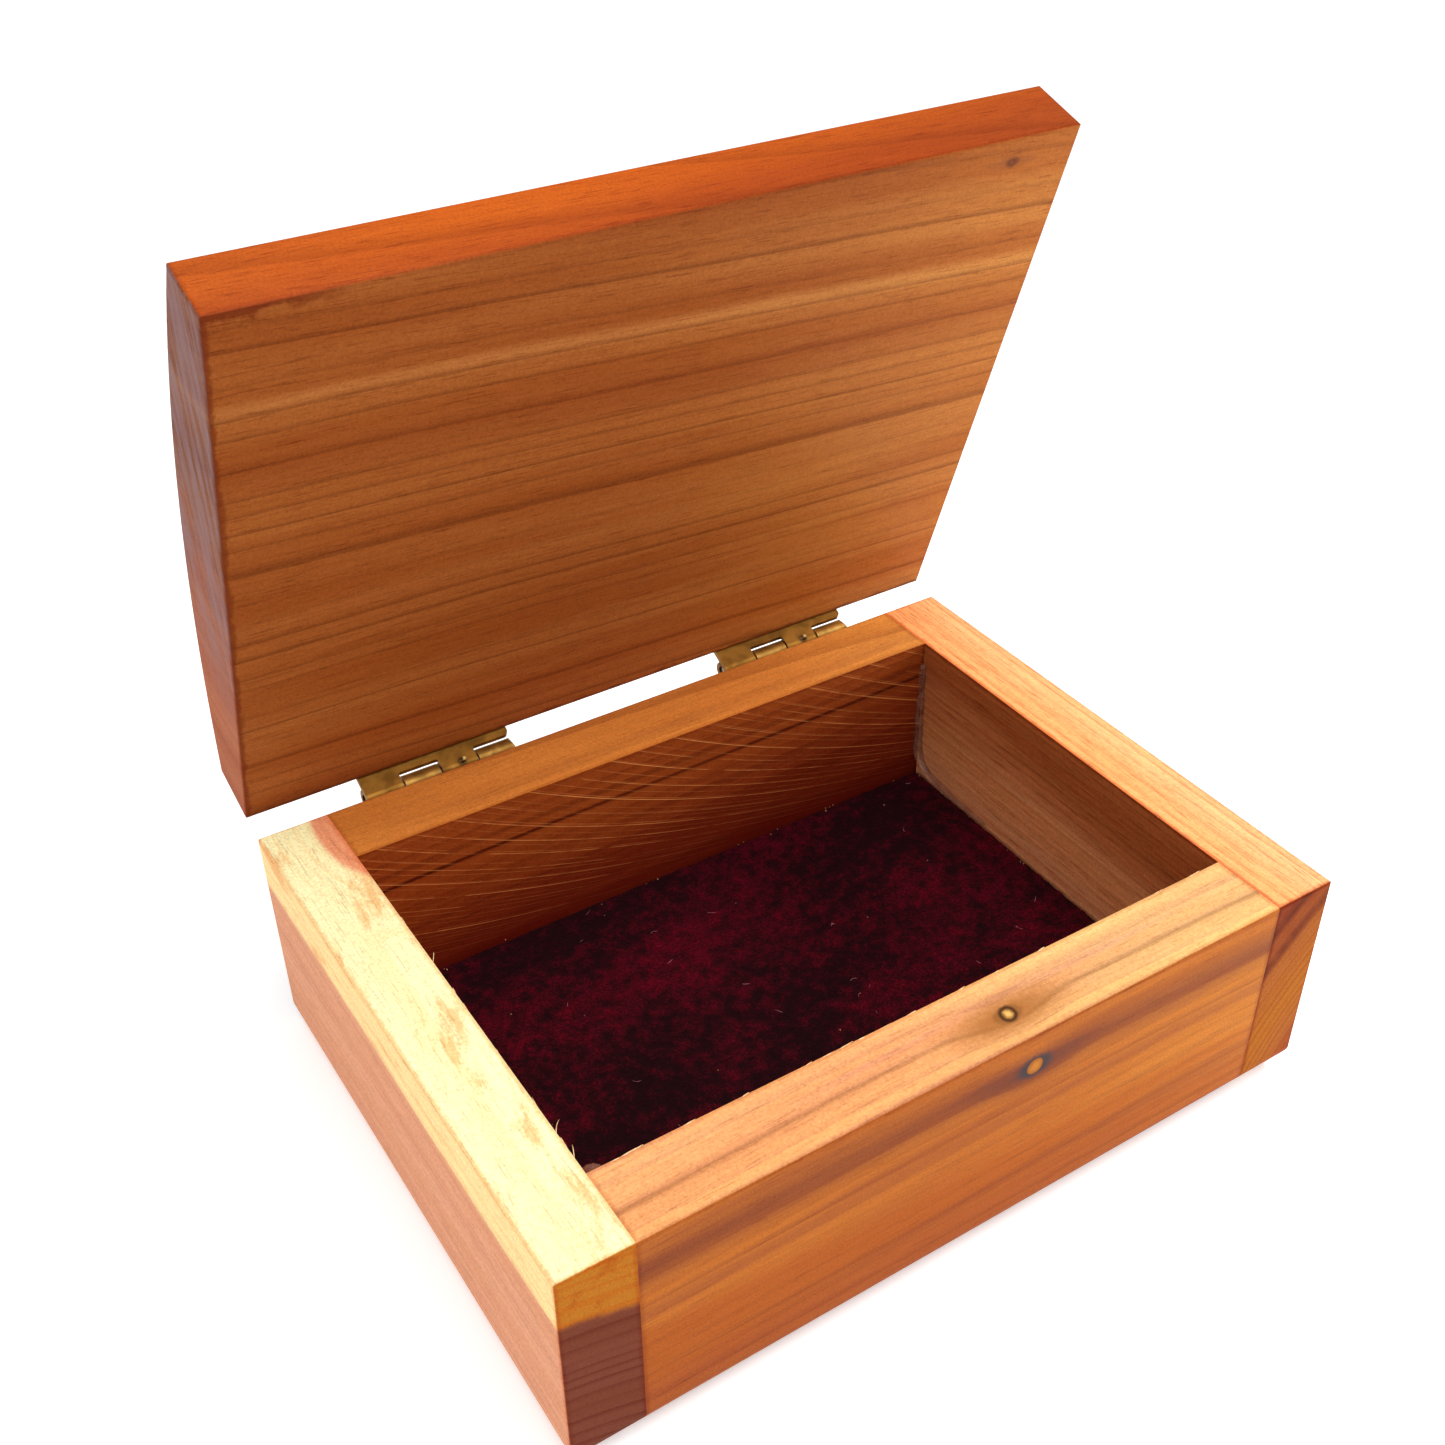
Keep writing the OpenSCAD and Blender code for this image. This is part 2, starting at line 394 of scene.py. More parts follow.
@dataclass(frozen=True)
class Stain:
    """Lacquer that ran over an arris onto a face, in the board's own axes."""

    facing: Triple
    from_edge: Triple
    edge_at: float
    reach: float
    colour: Colour
    strength: float
    fade_along: Optional[Tuple[Triple, float, float]] = None


@dataclass(frozen=True)
class Cedar:
    """Lacquered aromatic cedar, grown in solid rings round a pith line."""

    name: str
    low: Triple
    high: Triple
    grain: Grain
    pith: Triple
    tilt: Tuple[float, float]
    ring: float
    light: Colour
    deep: Colour
    line: Colour
    purple: Colour
    line_strength: float = 0.55
    purple_strength: float = 0.4
    wobble: float = 5.0
    fibre: float = 0.45
    pores: float = 0.4
    heart_radius: float = 1000.0
    heart_soft: float = 3.0
    heart_ragged: float = 4.0
    sap: Colour = (0.9, 0.8, 0.5, 1.0)
    sap_line: Colour = (0.8, 0.6, 0.3, 1.0)
    blotch: Colour = (0.8, 0.4, 0.1, 1.0)
    blotch_strength: float = 0.0
    end_tint: Colour = (0.5, 0.38, 0.32, 1.0)
    sap_end_tint: Colour = (0.6, 0.4, 0.2, 1.0)
    sap_side: Colour = (1.0, 1.0, 1.0, 1.0)
    arris_tint: Colour = (0.62, 0.42, 0.3, 1.0)
    arris_reach: float = 1.0
    arris_strength: float = 0.5
    late_power: float = 2.0
    open_lid: bool = False
    coat: float = 0.07
    speckle: float = 0.45
    # A streaky grey-purple painted sheen on the ends, its strength, and the span of y over which it
    # fades
    end_sheen: Colour = (0.5, 0.5, 0.5, 1.0)
    end_sheen_strength: float = 0.0
    end_sheen_fade: Tuple[float, float] = (0.0, 1.0)
    end_lines: float = 1.0
    bands: Tuple[Band, ...] = ()
    knots: Tuple[Knot, ...] = ()
    swells: Tuple[Swell, ...] = ()
    tints: Tuple[FaceTint, ...] = ()
    arcs: Optional[SawArcs] = None
    planed: Optional[PlaneLines] = None
    stains: Tuple[Stain, ...] = ()
    seed: float = 0.0

    def build(self) -> Material:
        """Build the board's material."""
        return BoardPainter(self).build()


class BoardPainter(Bench):
    """Paints a board's material, layer upon layer, on the board as the box lies closed."""

    board: Signal  # place on the board in millimetres
    facing: Signal  # normal of the surface
    grown: Tuple[Signal, Signal, Signal]  # place in the tree, x along the fibres
    radius: Signal  # distance from the pith
    late: Signal  # how dark the late wood of the year is
    end: Signal  # 1 where the fibres end
    edge: Signal  # raggedness of borders, around 0
    sapwood: Signal  # 1 in the sapwood
    colour: Signal
    height: Signal
    bare: Signal  # how little lacquer lies on the face

    def __init__(self, wood: Cedar) -> None:
        """Start a board's material.

        Args:
            wood: The finish to paint.
        """
        super().__init__(wood.name)
        self.wood = wood
        place = self.place()
        if wood.open_lid:
            turn = (math.radians(-OPEN_ANGLE), 0, 0)
            turned = self.within(place, (0, PIN_Y * MM, PIN_Z * MM), turn, MM)
            self.board = self.vector_maths("ADD", turned, (0, PIN_Y, PIN_Z))
            self.facing = self.within(self.normal(), (0, 0, 0), turn, 1.0)
        else:
            self.board = self.within(place, (0, 0, 0), (0, 0, 0), MM)
            self.facing = self.normal()

    def towards(self, way: Triple) -> Signal:
        """1 on the faces that look one way."""
        return self.step(self.dot(self.facing, way), 0.55, 0.85)

    def over(self, factor: Number, colour: Any) -> None:
        """Lay a colour over the board, as far as the factor says."""
        self.colour = self.mix(factor, self.colour, colour)

    def stain(self, factor: Number, tint: Any) -> None:
        """Multiply the board's colour by a tint, as far as the factor says."""
        self.colour = self.tint(factor, self.colour, tint)

    def build(self) -> Material:
        """Build the board's material.

        Returns:
            The material.
        """
        wood = self.wood
        self._grow()
        self._rings()
        self._sapwood()
        self._fibres()
        self._faces()
        if wood.end_sheen_strength:
            self._end_sheen()
        if wood.arcs:
            self._saw(wood.arcs)
        if wood.planed:
            self._plane(wood.planed)
        for stain in wood.stains:
            self._spill(stain)
        self._arrises()
        for knot in wood.knots:
            self._knot(knot)
        mottle = self.noise(self.board, 0.35, 3, 0.6)
        return self.finish(
            Base_Color=self.colour,
            Roughness=self.bare * 0.2 + mottle * 0.16 + 0.4,
            Coat_Weight=(1 - self.bare) * wood.coat,
            Coat_Roughness=0.3,
            Specular_IOR_Level=0.03,
            Normal=self.bump(self.height, 0.00008, 0.6),
        )

    def _from_axis(self, at: Triple, axle: Triple, stretch: float) -> Signal:
        """Measure how far a place is from a branch's axis.

        Args:
            at: Where the axis passes.
            axle: Which way it runs.
            stretch: How much longer the branch's marks are along the fibres.

        Returns:
            The distance in millimetres, counted short along the fibres.
        """
        wood = self.wood
        axis = tuple(Vector(axle).normalized())
        offset = self.vector_maths("SUBTRACT", self.board, at)
        sockets = {0: axis, "Scale": self.dot(offset, axis)}
        on_axis = self.node("ShaderNodeVectorMath", {"operation": "SCALE"}, sockets)
        away = self.vector_maths("SUBTRACT", offset, on_axis)
        squeeze = (1 / stretch, 1, 1) if wood.grain is Grain.ALONG_X else (1, 1 / stretch, 1)
        return self.length(self.scaled(away, squeeze))

    def _grow(self) -> None:
        """Find the place in the tree, where rings sway and bulge round branches."""
        wood = self.wood
        turn = (0.0, math.radians(wood.tilt[1]), math.radians(wood.grain.value + wood.tilt[0]))
        straight = self.within(self.board, wood.pith, turn, 1.0)
        slow = self.scaled(straight, (0.009, 0.022, 0.022))
        drift = self.vector_maths("ADD", slow, (wood.seed, 0, 0))
        drift = self.noise(drift, 1.0, 1, 0.4, "Color")
        sway = self.vector_maths("SUBTRACT", drift, (0.5, 0.5, 0.5))
        sway = self.scaled(sway, (0.0, wood.wobble, wood.wobble))
        push: Number = 0.0
        for swell in wood.swells:
            far = self._from_axis(swell.at, swell.along, swell.stretch)
            push = self.step(far, swell.reach, 0.0) * swell.push + push
        self.grown = self.parts(self.vector_maths("ADD", straight, sway))
        _, y, z = self.grown
        self.radius = (y * y + z * z).root() + push

    def _rings(self) -> None:
        """Lay the years, their late wood, purple streaks and the bands."""
        wood = self.wood
        x, y, z = self.grown
        count = self.radius / wood.ring + self.cloud(self.radius * 0.09, wood.seed, 0.0) * 2.2
        year, tone = count.fraction(), self.chance(count.whole() + wood.seed)
        late = self.step(year, 0.3, 0.93) ** wood.late_power
        late = late * self.step(year, 1.0, 0.95) * (tone * 0.75 + 0.25)
        fibres = RIGHT if wood.grain is Grain.ALONG_X else BACK
        self.end = self.step(abs(self.dot(self.facing, fibres)), 0.45, 0.8)
        self.late = late * (1 - self.end * (1 - wood.end_lines))

        wide = self.cloud(x * 0.004, self.radius * 0.11, wood.seed, 3, 0.55)
        self.colour = self.mix(self.step(wide, 0.38, 0.62), wood.light, wood.deep)
        self.over(tone * 0.28, wood.deep)
        streak = self.cloud(x * 0.005, y * 0.13 + wood.seed, z * 0.13, 4, 0.6)
        self.over(self.step(streak, 0.5, 0.7) * wood.purple_strength, wood.purple)
        for band in wood.bands:
            ragged = self.cloud(x * 0.012, y * 0.3, z * 0.3, 4, 0.6) * 1.4 + 0.3
            there = self.hill(self.radius, band.radius, band.half) * ragged * band.strength
            shown = self.mix(self.end, band.colour, band.end) if band.end else band.colour
            self.over(there, shown)
        self.over(self.late * wood.line_strength, wood.line)

    def _sapwood(self) -> None:
        """Lay the sapwood with its blotches outside the heartwood."""
        wood = self.wood
        x, y, z = self.grown
        self.edge = self.cloud(x * 0.02, y * 0.12, z * 0.12 + wood.seed, 3) - 0.5
        border = self.radius + self.edge * (2 * wood.heart_ragged)
        inner, outer = wood.heart_radius - wood.heart_soft, wood.heart_radius + wood.heart_soft
        self.sapwood = self.step(border, inner, outer)
        sap = self.mix(self.late * 0.6, wood.sap, wood.sap_line)
        soak = self.cloud(x * 0.05, y * 0.2 + x * 0.03, z * 0.2 + wood.seed, 5, 0.7)
        sap = self.mix(self.step(soak, 0.53, 0.68) * wood.blotch_strength, sap, wood.blotch)
        side = self.step(abs(self.dot(self.facing, UP)), 0.8, 0.45)
        self.over(self.sapwood, self.tint(side, sap, wood.sap_side))

    def _fibres(self) -> None:
        """Lay fibres, pores and speckle, and the height they give."""
        wood = self.wood
        x, y, z = self.grown
        fibre = self.cloud(x * 0.07, y * 2.1, z * 2.1, 5, 0.75)
        self.stain(self.step(fibre, 0.5, 0.78) * wood.fibre, FIBRE_DARK)
        self.stain(self.step(fibre, 0.5, 0.25) * wood.fibre, FIBRE_LIGHT)
        pore = self.step(self.cloud(x * 0.16, y * 3.6, z * 3.6), 0.56, 0.7)
        self.stain(pore * wood.pores, PORE_DARK)
        speck = self.noise(self.board, 2.3, 2, 0.6)
        self.stain(self.step(speck, 0.5, 0.72) * wood.speckle, SPECK_DARK)
        self.stain(self.step(speck, 0.5, 0.28) * wood.speckle, SPECK_LIGHT)
        self.height = fibre * 0.4 - self.late * 0.15 - pore * 0.35

    def _faces(self) -> None:
        """Tint the ends and the faces, some with painted light and shade, and find how bare they
        are.
        """
        wood = self.wood
        self.stain(self.end, self.mix(self.sapwood, wood.end_tint, wood.sap_end_tint))
        self.bare = self.end * 0.35
        for tint in wood.tints:
            there = self.towards(tint.facing)
            self.stain(there, tint.tint)
            if tint.far != FaceTint.far:
                width = tint.span[1] - tint.span[0]
                reach = self.dot(self.board, tint.way) + self.edge * (0.6 * width)
                self.stain(there * self.step(reach, *tint.span), tint.far)
            self.bare = there * tint.bare + self.bare

    def _end_sheen(self) -> None:
        """Lay a streaky grey-purple painted sheen on the ends, as grazing light shows on them."""
        wood = self.wood
        _, y, z = self.parts(self.board)
        across, down = y * 0.33 + z * 0.94, y * 0.94 - z * 0.33
        sheen_streaks = self.step(self.cloud(wood.seed, across * 0.6, down * 0.06, 5, 0.7), 0.36, 0.62)
        near, far = wood.end_sheen_fade
        self.over(self.end * (sheen_streaks * self.step(y, far, near)) * wood.end_sheen_strength, wood.end_sheen)

    def _saw(self, arcs: SawArcs) -> None:
        """Lay the arcs of a round saw, broken here and there, with fainter ones between.

        Args:
            arcs: The arcs.
        """
        x, _, z = self.parts(self.board)
        above = arcs.lowest + arcs.blade - z
        turns = (x + (arcs.blade * arcs.blade - above * above).root()) / arcs.feed
        turns = turns + self.cloud(turns * 0.7, 0.0, 0.0) * 1.5
        tone = self.chance(turns.whole())
        broken = self.step(self.cloud(turns * 0.6, x * 0.06, z * 0.06, 4, 0.7), 0.32, 0.55)
        mark = self.hill(turns.fraction(), 0.5, arcs.half) * (tone * 0.7 + 0.4)
        faint = self.hill((turns * 2 + 0.3).fraction(), 0.5, arcs.half * 1.6) * 0.28
        mark = mark.most(faint) * broken * self.towards(arcs.facing)
        mark = mark * self.step(z, *arcs.fade)
        self.over(mark * arcs.strength, arcs.colour)
        self.height = mark * 0.8 + self.height

    def _plane(self, planed: PlaneLines) -> None:
        """Lay patches of planer lines.

        Args:
            planed: The lines.
        """
        x, y, z = self.parts(self.board)
        shiver = self.noise(self.board, 0.25, 2) * 0.6
        ridge = self.hill((z / planed.feed + shiver).fraction(), 0.5, 0.5)
        patchy = self.step(self.cloud(z * 0.45, x * 0.03, y * 0.03, 4, 0.75), 0.4, 0.66)
        ridge = ridge * patchy * self.towards(planed.facing)
        self.stain(ridge * planed.strength, PLANED_LIGHT)
        self.height = ridge * 0.5 + self.height

    def _spill(self, stain: Stain) -> None:
        """Lay one stain of lacquer that ran over an arris.

        Args:
            stain: The stain.
        """
        inwards = self.dot(self.board, stain.from_edge) - stain.edge_at
        ragged = self.noise(self.board, 0.22, 4, 0.65) * 2.0 - 0.5
        wet = self.step(inwards / stain.reach - ragged, 0.35, -0.1)
        if stain.fade_along:
            way, near, far = stain.fade_along
            wet = wet * self.step(self.dot(self.board, way), far, near)
        self.over(wet * self.towards(stain.facing) * stain.strength, stain.colour)

    def _arrises(self) -> None:
        """Darken the arrises and glue joints with lacquer, unevenly."""
        wood = self.wood
        centre = tuple((a + b) / 2 for a, b in zip(wood.low, wood.high))
        half = tuple((b - a) / 2 for a, b in zip(wood.low, wood.high))
        offset = self.vector_maths("SUBTRACT", self.board, centre)
        offset = self.vector_maths("ABSOLUTE", offset)
        x, y, z = self.parts(self.vector_maths("SUBTRACT", half, offset))
        second = x + y + z - x.least(y).least(z) - x.most(y).most(z)
        ragged = self.noise(self.board, 0.45, 3, 0.6) * 1.6 + 0.2
        line = self.step(second / ragged, wood.arris_reach, 0.15)
        self.stain(line * wood.arris_strength, wood.arris_tint)

    def _knot(self, knot: Knot) -> None:
        """Lay the halo, bruise, dark ring and pale heart of a pin knot.

        Args:
            knot: The knot.
        """
        there = self.towards(knot.facing)
        ragged = self.noise(self.board, 0.8, 4, 0.65) * 1.6 - 0.8
        far = self._from_axis(knot.at, knot.along, 4.5) + ragged * 1.2
        halo = self.step(far, knot.spread, knot.ring_r * 0.4) * knot.halo_strength
        self.over(halo * there, knot.halo)
        beside = self._from_axis(knot.at, knot.along, 1.6) + ragged * 0.5
        bruise = self.step(beside, knot.ring_r + knot.bruise_reach, knot.ring_r - 0.1)
        self.over(bruise * knot.bruise_strength * there, knot.bruise)
        near = self._from_axis(knot.at, knot.along, 1.0) + ragged * 0.2
        ring = self.step(near, knot.ring_r + 0.35, knot.ring_r - 0.2) * 0.9
        self.over(ring * there, knot.ring)
        outwards = self.step(near + ragged * 0.7, knot.heart_r * 0.2, knot.heart_r)
        inside = self.step(near, knot.heart_r + 0.15, knot.heart_r - 0.15)
        self.over(inside * there, self.mix(outwards, knot.heart, knot.core))


# ---- other finishes


@dataclass(frozen=True)
class Brass:
    """Aged brass sheet: olive gold and mottled, paler round the pin on a knuckle, with painted
    shade in its punch marks and a painted highlight beside each.
    """

    name: str
    bright: Colour = paint(160, 112, 42)
    olive: Colour = paint(116, 76, 22)
    dark: Colour = paint(70, 46, 20)
    rough: float = 0.42
    marks: Tuple[Triple, ...] = ()
    mark_r: float = 1.25
    # Offset and colour of a painted highlight beside each punch mark
    glint: Triple = (0.65, 0.45, 0.18)
    glint_colour: Colour = paint(244, 208, 132)
    knuckle_pale: float = 0.0
    knuckle_tint: Colour = (1.6, 1.9, 3.0, 1.0)

    def build(self) -> Material:
        """Build the material.

        Returns:
            The material.
        """
        bench = Bench(self.name)
        place = bench.millimetres()
        cloud = bench.noise(place, 0.25, 2, 0.5)
        grime = bench.step(bench.noise(place, 1.2, 5, 0.7), 0.56, 0.75)
        rolled = bench.noise(bench.scaled(place, (0.3, 4.0, 4.0)), 1.0, 3, 0.6)
        colour = bench.mix(bench.step(cloud, 0.3, 0.7), self.bright, self.olive)
        colour = bench.mix(grime * 0.3, colour, self.dark)
        # Paler and less orange on the knuckle round the pin
        if self.knuckle_pale:
            _, y, z = bench.parts(place)
            away = bench.length(bench.vector(0.0, y - PIN_Y, z - PIN_Z))
            colour = bench.tint(bench.step(away, 3.2, 2.2) * self.knuckle_pale, colour, self.knuckle_tint)
        # Painted shade in each punch mark's dimple, and a painted highlight beside it
        for mark in self.marks:
            away = bench.length(bench.vector_maths("SUBTRACT", place, mark))
            dimple_shade = bench.step(away, self.mark_r, self.mark_r * 0.5)
            colour = bench.mix(dimple_shade * 0.85, colour, self.dark)
            shine = tuple(at + off for at, off in zip(mark, self.glint))
            away = bench.length(bench.vector_maths("SUBTRACT", place, shine))
            colour = bench.mix(bench.step(away, 0.5, 0.15) * 0.8, colour, self.glint_colour)
        return bench.finish(
            Base_Color=colour,
            Metallic=bench.step(cloud, 0.0, 0.3) * 0.25 + 0.6,
            Roughness=cloud * 0.25 + grime * 0.25 + (self.rough - 0.1),
            Normal=bench.bump(rolled * 0.5 + grime * 0.3, 0.00006, 0.6),
        )


@dataclass(frozen=True)
class Steel:
    """Drawn steel wire, dulled."""

    name: str
    bright: Colour = paint(176, 174, 168)
    dull: Colour = paint(104, 96, 88)

    def build(self) -> Material:
        """Build the material.

        Returns:
            The material.
        """
        bench = Bench(self.name)
        place = bench.millimetres()
        spots = bench.noise(place, 1.8, 4, 0.7)
        drawn = bench.noise(bench.scaled(place, (0.4, 6.0, 6.0)), 1.0, 3)
        colour = bench.mix(bench.step(spots, 0.45, 0.7), self.bright, self.dull)
        return bench.finish(
            Base_Color=colour,
            Metallic=0.9,
            Roughness=spots * 0.4 + 0.16,
            Normal=bench.bump(drawn, 0.00004, 0.5),
        )


@dataclass(frozen=True)
class Velvet:
    """Short dark wine pile, brushed this way and that, its sheen painted into the colour."""

    name: str
    brush_turn: float = 28.0
    shadow: Colour = paint(24, 7, 11)
    wine: Colour = paint(94, 3, 24)
    pile_shade: Colour = paint(10, 3, 6)
    raised: Colour = paint(122, 8, 36)
    sheen: Colour = paint(190, 60, 80)

    def build(self) -> Material:
        """Build the material.

        Returns:
            The material.
        """
        bench = Bench(self.name)
        place = bench.millimetres()
        brushed = bench.within(place, (0, 0, 0), (0, 0, math.radians(self.brush_turn)), 1.0)
        strokes = bench.noise(bench.scaled(brushed, (0.022, 0.06, 0.06)), 1.0, 3, 0.6)
        crushed = bench.noise(place, 0.34, 7, 0.75)
        pile = bench.noise(place, 1.9, 4, 0.85)
        # Painted sheen: brushed patches pass from the dark pile to wine; painted shade deep in the
        # pile and a painted highlight on its raised tips
        sheen_patch = bench.step(strokes * 0.4 + crushed * 0.6, 0.43, 0.7)
        colour = bench.mix(sheen_patch, self.shadow, self.wine)
        colour = bench.mix(bench.step(pile, 0.44, 0.66) * 0.8, colour, self.pile_shade)
        colour = bench.mix(bench.step(pile, 0.5, 0.34) * sheen_patch, colour, self.raised)
        return bench.finish(
            Base_Color=colour,
            Roughness=0.9,
            Specular_IOR_Level=0.05,
            Sheen_Weight=0.12,
            Sheen_Roughness=0.45,
            Sheen_Tint=self.sheen,
            Normal=bench.bump(pile + crushed * 2, 0.0004, 0.8),
        )


@dataclass(frozen=True)
class Plain:
    """A simple mottled finish: card, glue, crumbs or splinters."""

    name: str
    pale: Colour
    deep: Colour
    scale: float
    rough: float
    grain: float = 0.0001
    coat: float = 0.0
    alpha: float = 1.0

    def build(self) -> Material:
        """Build the material.

        Returns:
            The material.
        """
        bench = Bench(self.name)
        place = bench.millimetres()
        mottle = bench.noise(place, self.scale, 4, 0.6)
        speck = bench.noise(place, self.scale * 7, 3, 0.7)
        colour = bench.mix(bench.step(mottle, 0.35, 0.65), self.pale, self.deep)
        colour = bench.mix(bench.step(speck, 0.55, 0.75) * 0.35, colour, self.deep)
        return bench.finish(
            Base_Color=colour,
            Roughness=mottle * 0.2 + (self.rough - 0.1),
            Coat_Weight=self.coat,
            Alpha=self.alpha,
            Normal=bench.bump(mottle + speck * 0.5, self.grain, 0.6),
        )


# ---- modelling helpers


def pick_only(piece: Optional[Piece] = None) -> None:
    """Deselect everything, then select one piece if it is given.

    Args:
        piece: Piece to select and make active.
    """
    bpy.ops.object.select_all(action="DESELECT")
    if piece is not None:
        piece.select_set(True)
        bpy.context.view_layer.objects.active = piece


def settle(piece: Piece, name: str, smooth: float = 40.0) -> Piece:
    """Name a piece, apply its modifiers and place, and smooth it.

    Args:
        piece: Piece to settle.
        name: Its name.
        smooth: Angle in degrees below which its faces shade smoothly.

    Returns:
        The piece.
    """
    pick_only(piece)
    for modifier in list(piece.modifiers):
        bpy.ops.object.modifier_apply(modifier=modifier.name)
    bpy.ops.object.transform_apply(location=True, rotation=True, scale=True)
    bpy.ops.object.shade_smooth_by_angle(angle=math.radians(smooth))
    piece.name = piece.data.name = name
    return piece


def join(pieces: List[Piece]) -> Piece:
    """Join several pieces into the first.

    Args:
        pieces: Pieces to join.

    Returns:
        The joined piece.
    """
    pick_only(pieces[0])
    for piece in pieces[1:]:
        piece.select_set(True)
    bpy.ops.object.join()
    return pieces[0]


def dress(piece: Piece, material: Material) -> None:
    """Put one material in all of a piece's slots.

    Args:
        piece: Piece to dress.
        material: The material.
    """
    if not piece.data.materials:
        piece.data.materials.append(material)
    for index in range(len(piece.material_slots)):
        piece.material_slots[index].material = material


def add_to_box(piece: Piece, material: Material) -> None:
    """Dress a new piece and let it ride on the box.

    Args:
        piece: Settled piece.
        material: Its material.
    """
    dress(piece, material)
    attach(piece, "box")
    log.info("built %s", piece.name)


def strand(
    points: Sequence[Triple], radii: Sequence[float], depth: float, sides: int = 1
) -> Piece:
    """Draw a round strand along points in millimetres.

    Args:
        points: Places that it passes.
        radii: Share of the depth at each.
        depth: Radius in millimetres.
        sides: Resolution of its round.

    Returns:
        The strand as a mesh, with closed ends.
    """
    pick_only()
    bpy.ops.curve.primitive_nurbs_path_add(location=(0, 0, 0))
    curve = bpy.context.object
    curve.data.splines.clear()
    spline = curve.data.splines.new("NURBS")
    spline.points.add(len(points) - 1)
    for knot, point, radius in zip(spline.points, points, radii):
        knot.co = (*[value * MM for value in point], 1.0)
        knot.radius = radius
    spline.use_endpoint_u = True
    spline.order_u = min(4, len(points))
    spline.resolution_u = 3
    curve.data.dimensions = "3D"
    curve.data.bevel_depth = depth * MM
    curve.data.bevel_resolution = sides
    curve.data.use_fill_caps = True
    pick_only(curve)
    bpy.ops.object.convert(target="MESH")
    return bpy.context.object


def roughen(
    piece: Piece, name: str, size: float, height: float, way: str = "NORMAL"
) -> bpy.types.Modifier:
    """Add a modifier that displaces a piece by procedural clouds.

    Args:
        piece: Piece to displace.
        name: Name of the modifier and its texture.
        size: Size of the clouds in millimetres.
        height: Height of the clouds in millimetres.
        way: Axis to displace along.

    Returns:
        The modifier.
    """
    clouds = bpy.data.textures.get(name) or bpy.data.textures.new(name, "CLOUDS")
    clouds.noise_scale = size * MM
    wave = piece.modifiers.new(name, "DISPLACE")
    wave.texture, wave.direction = clouds, way
    wave.strength, wave.mid_level = height * MM, 0.5
    return wave


# ---- sub-assemblies


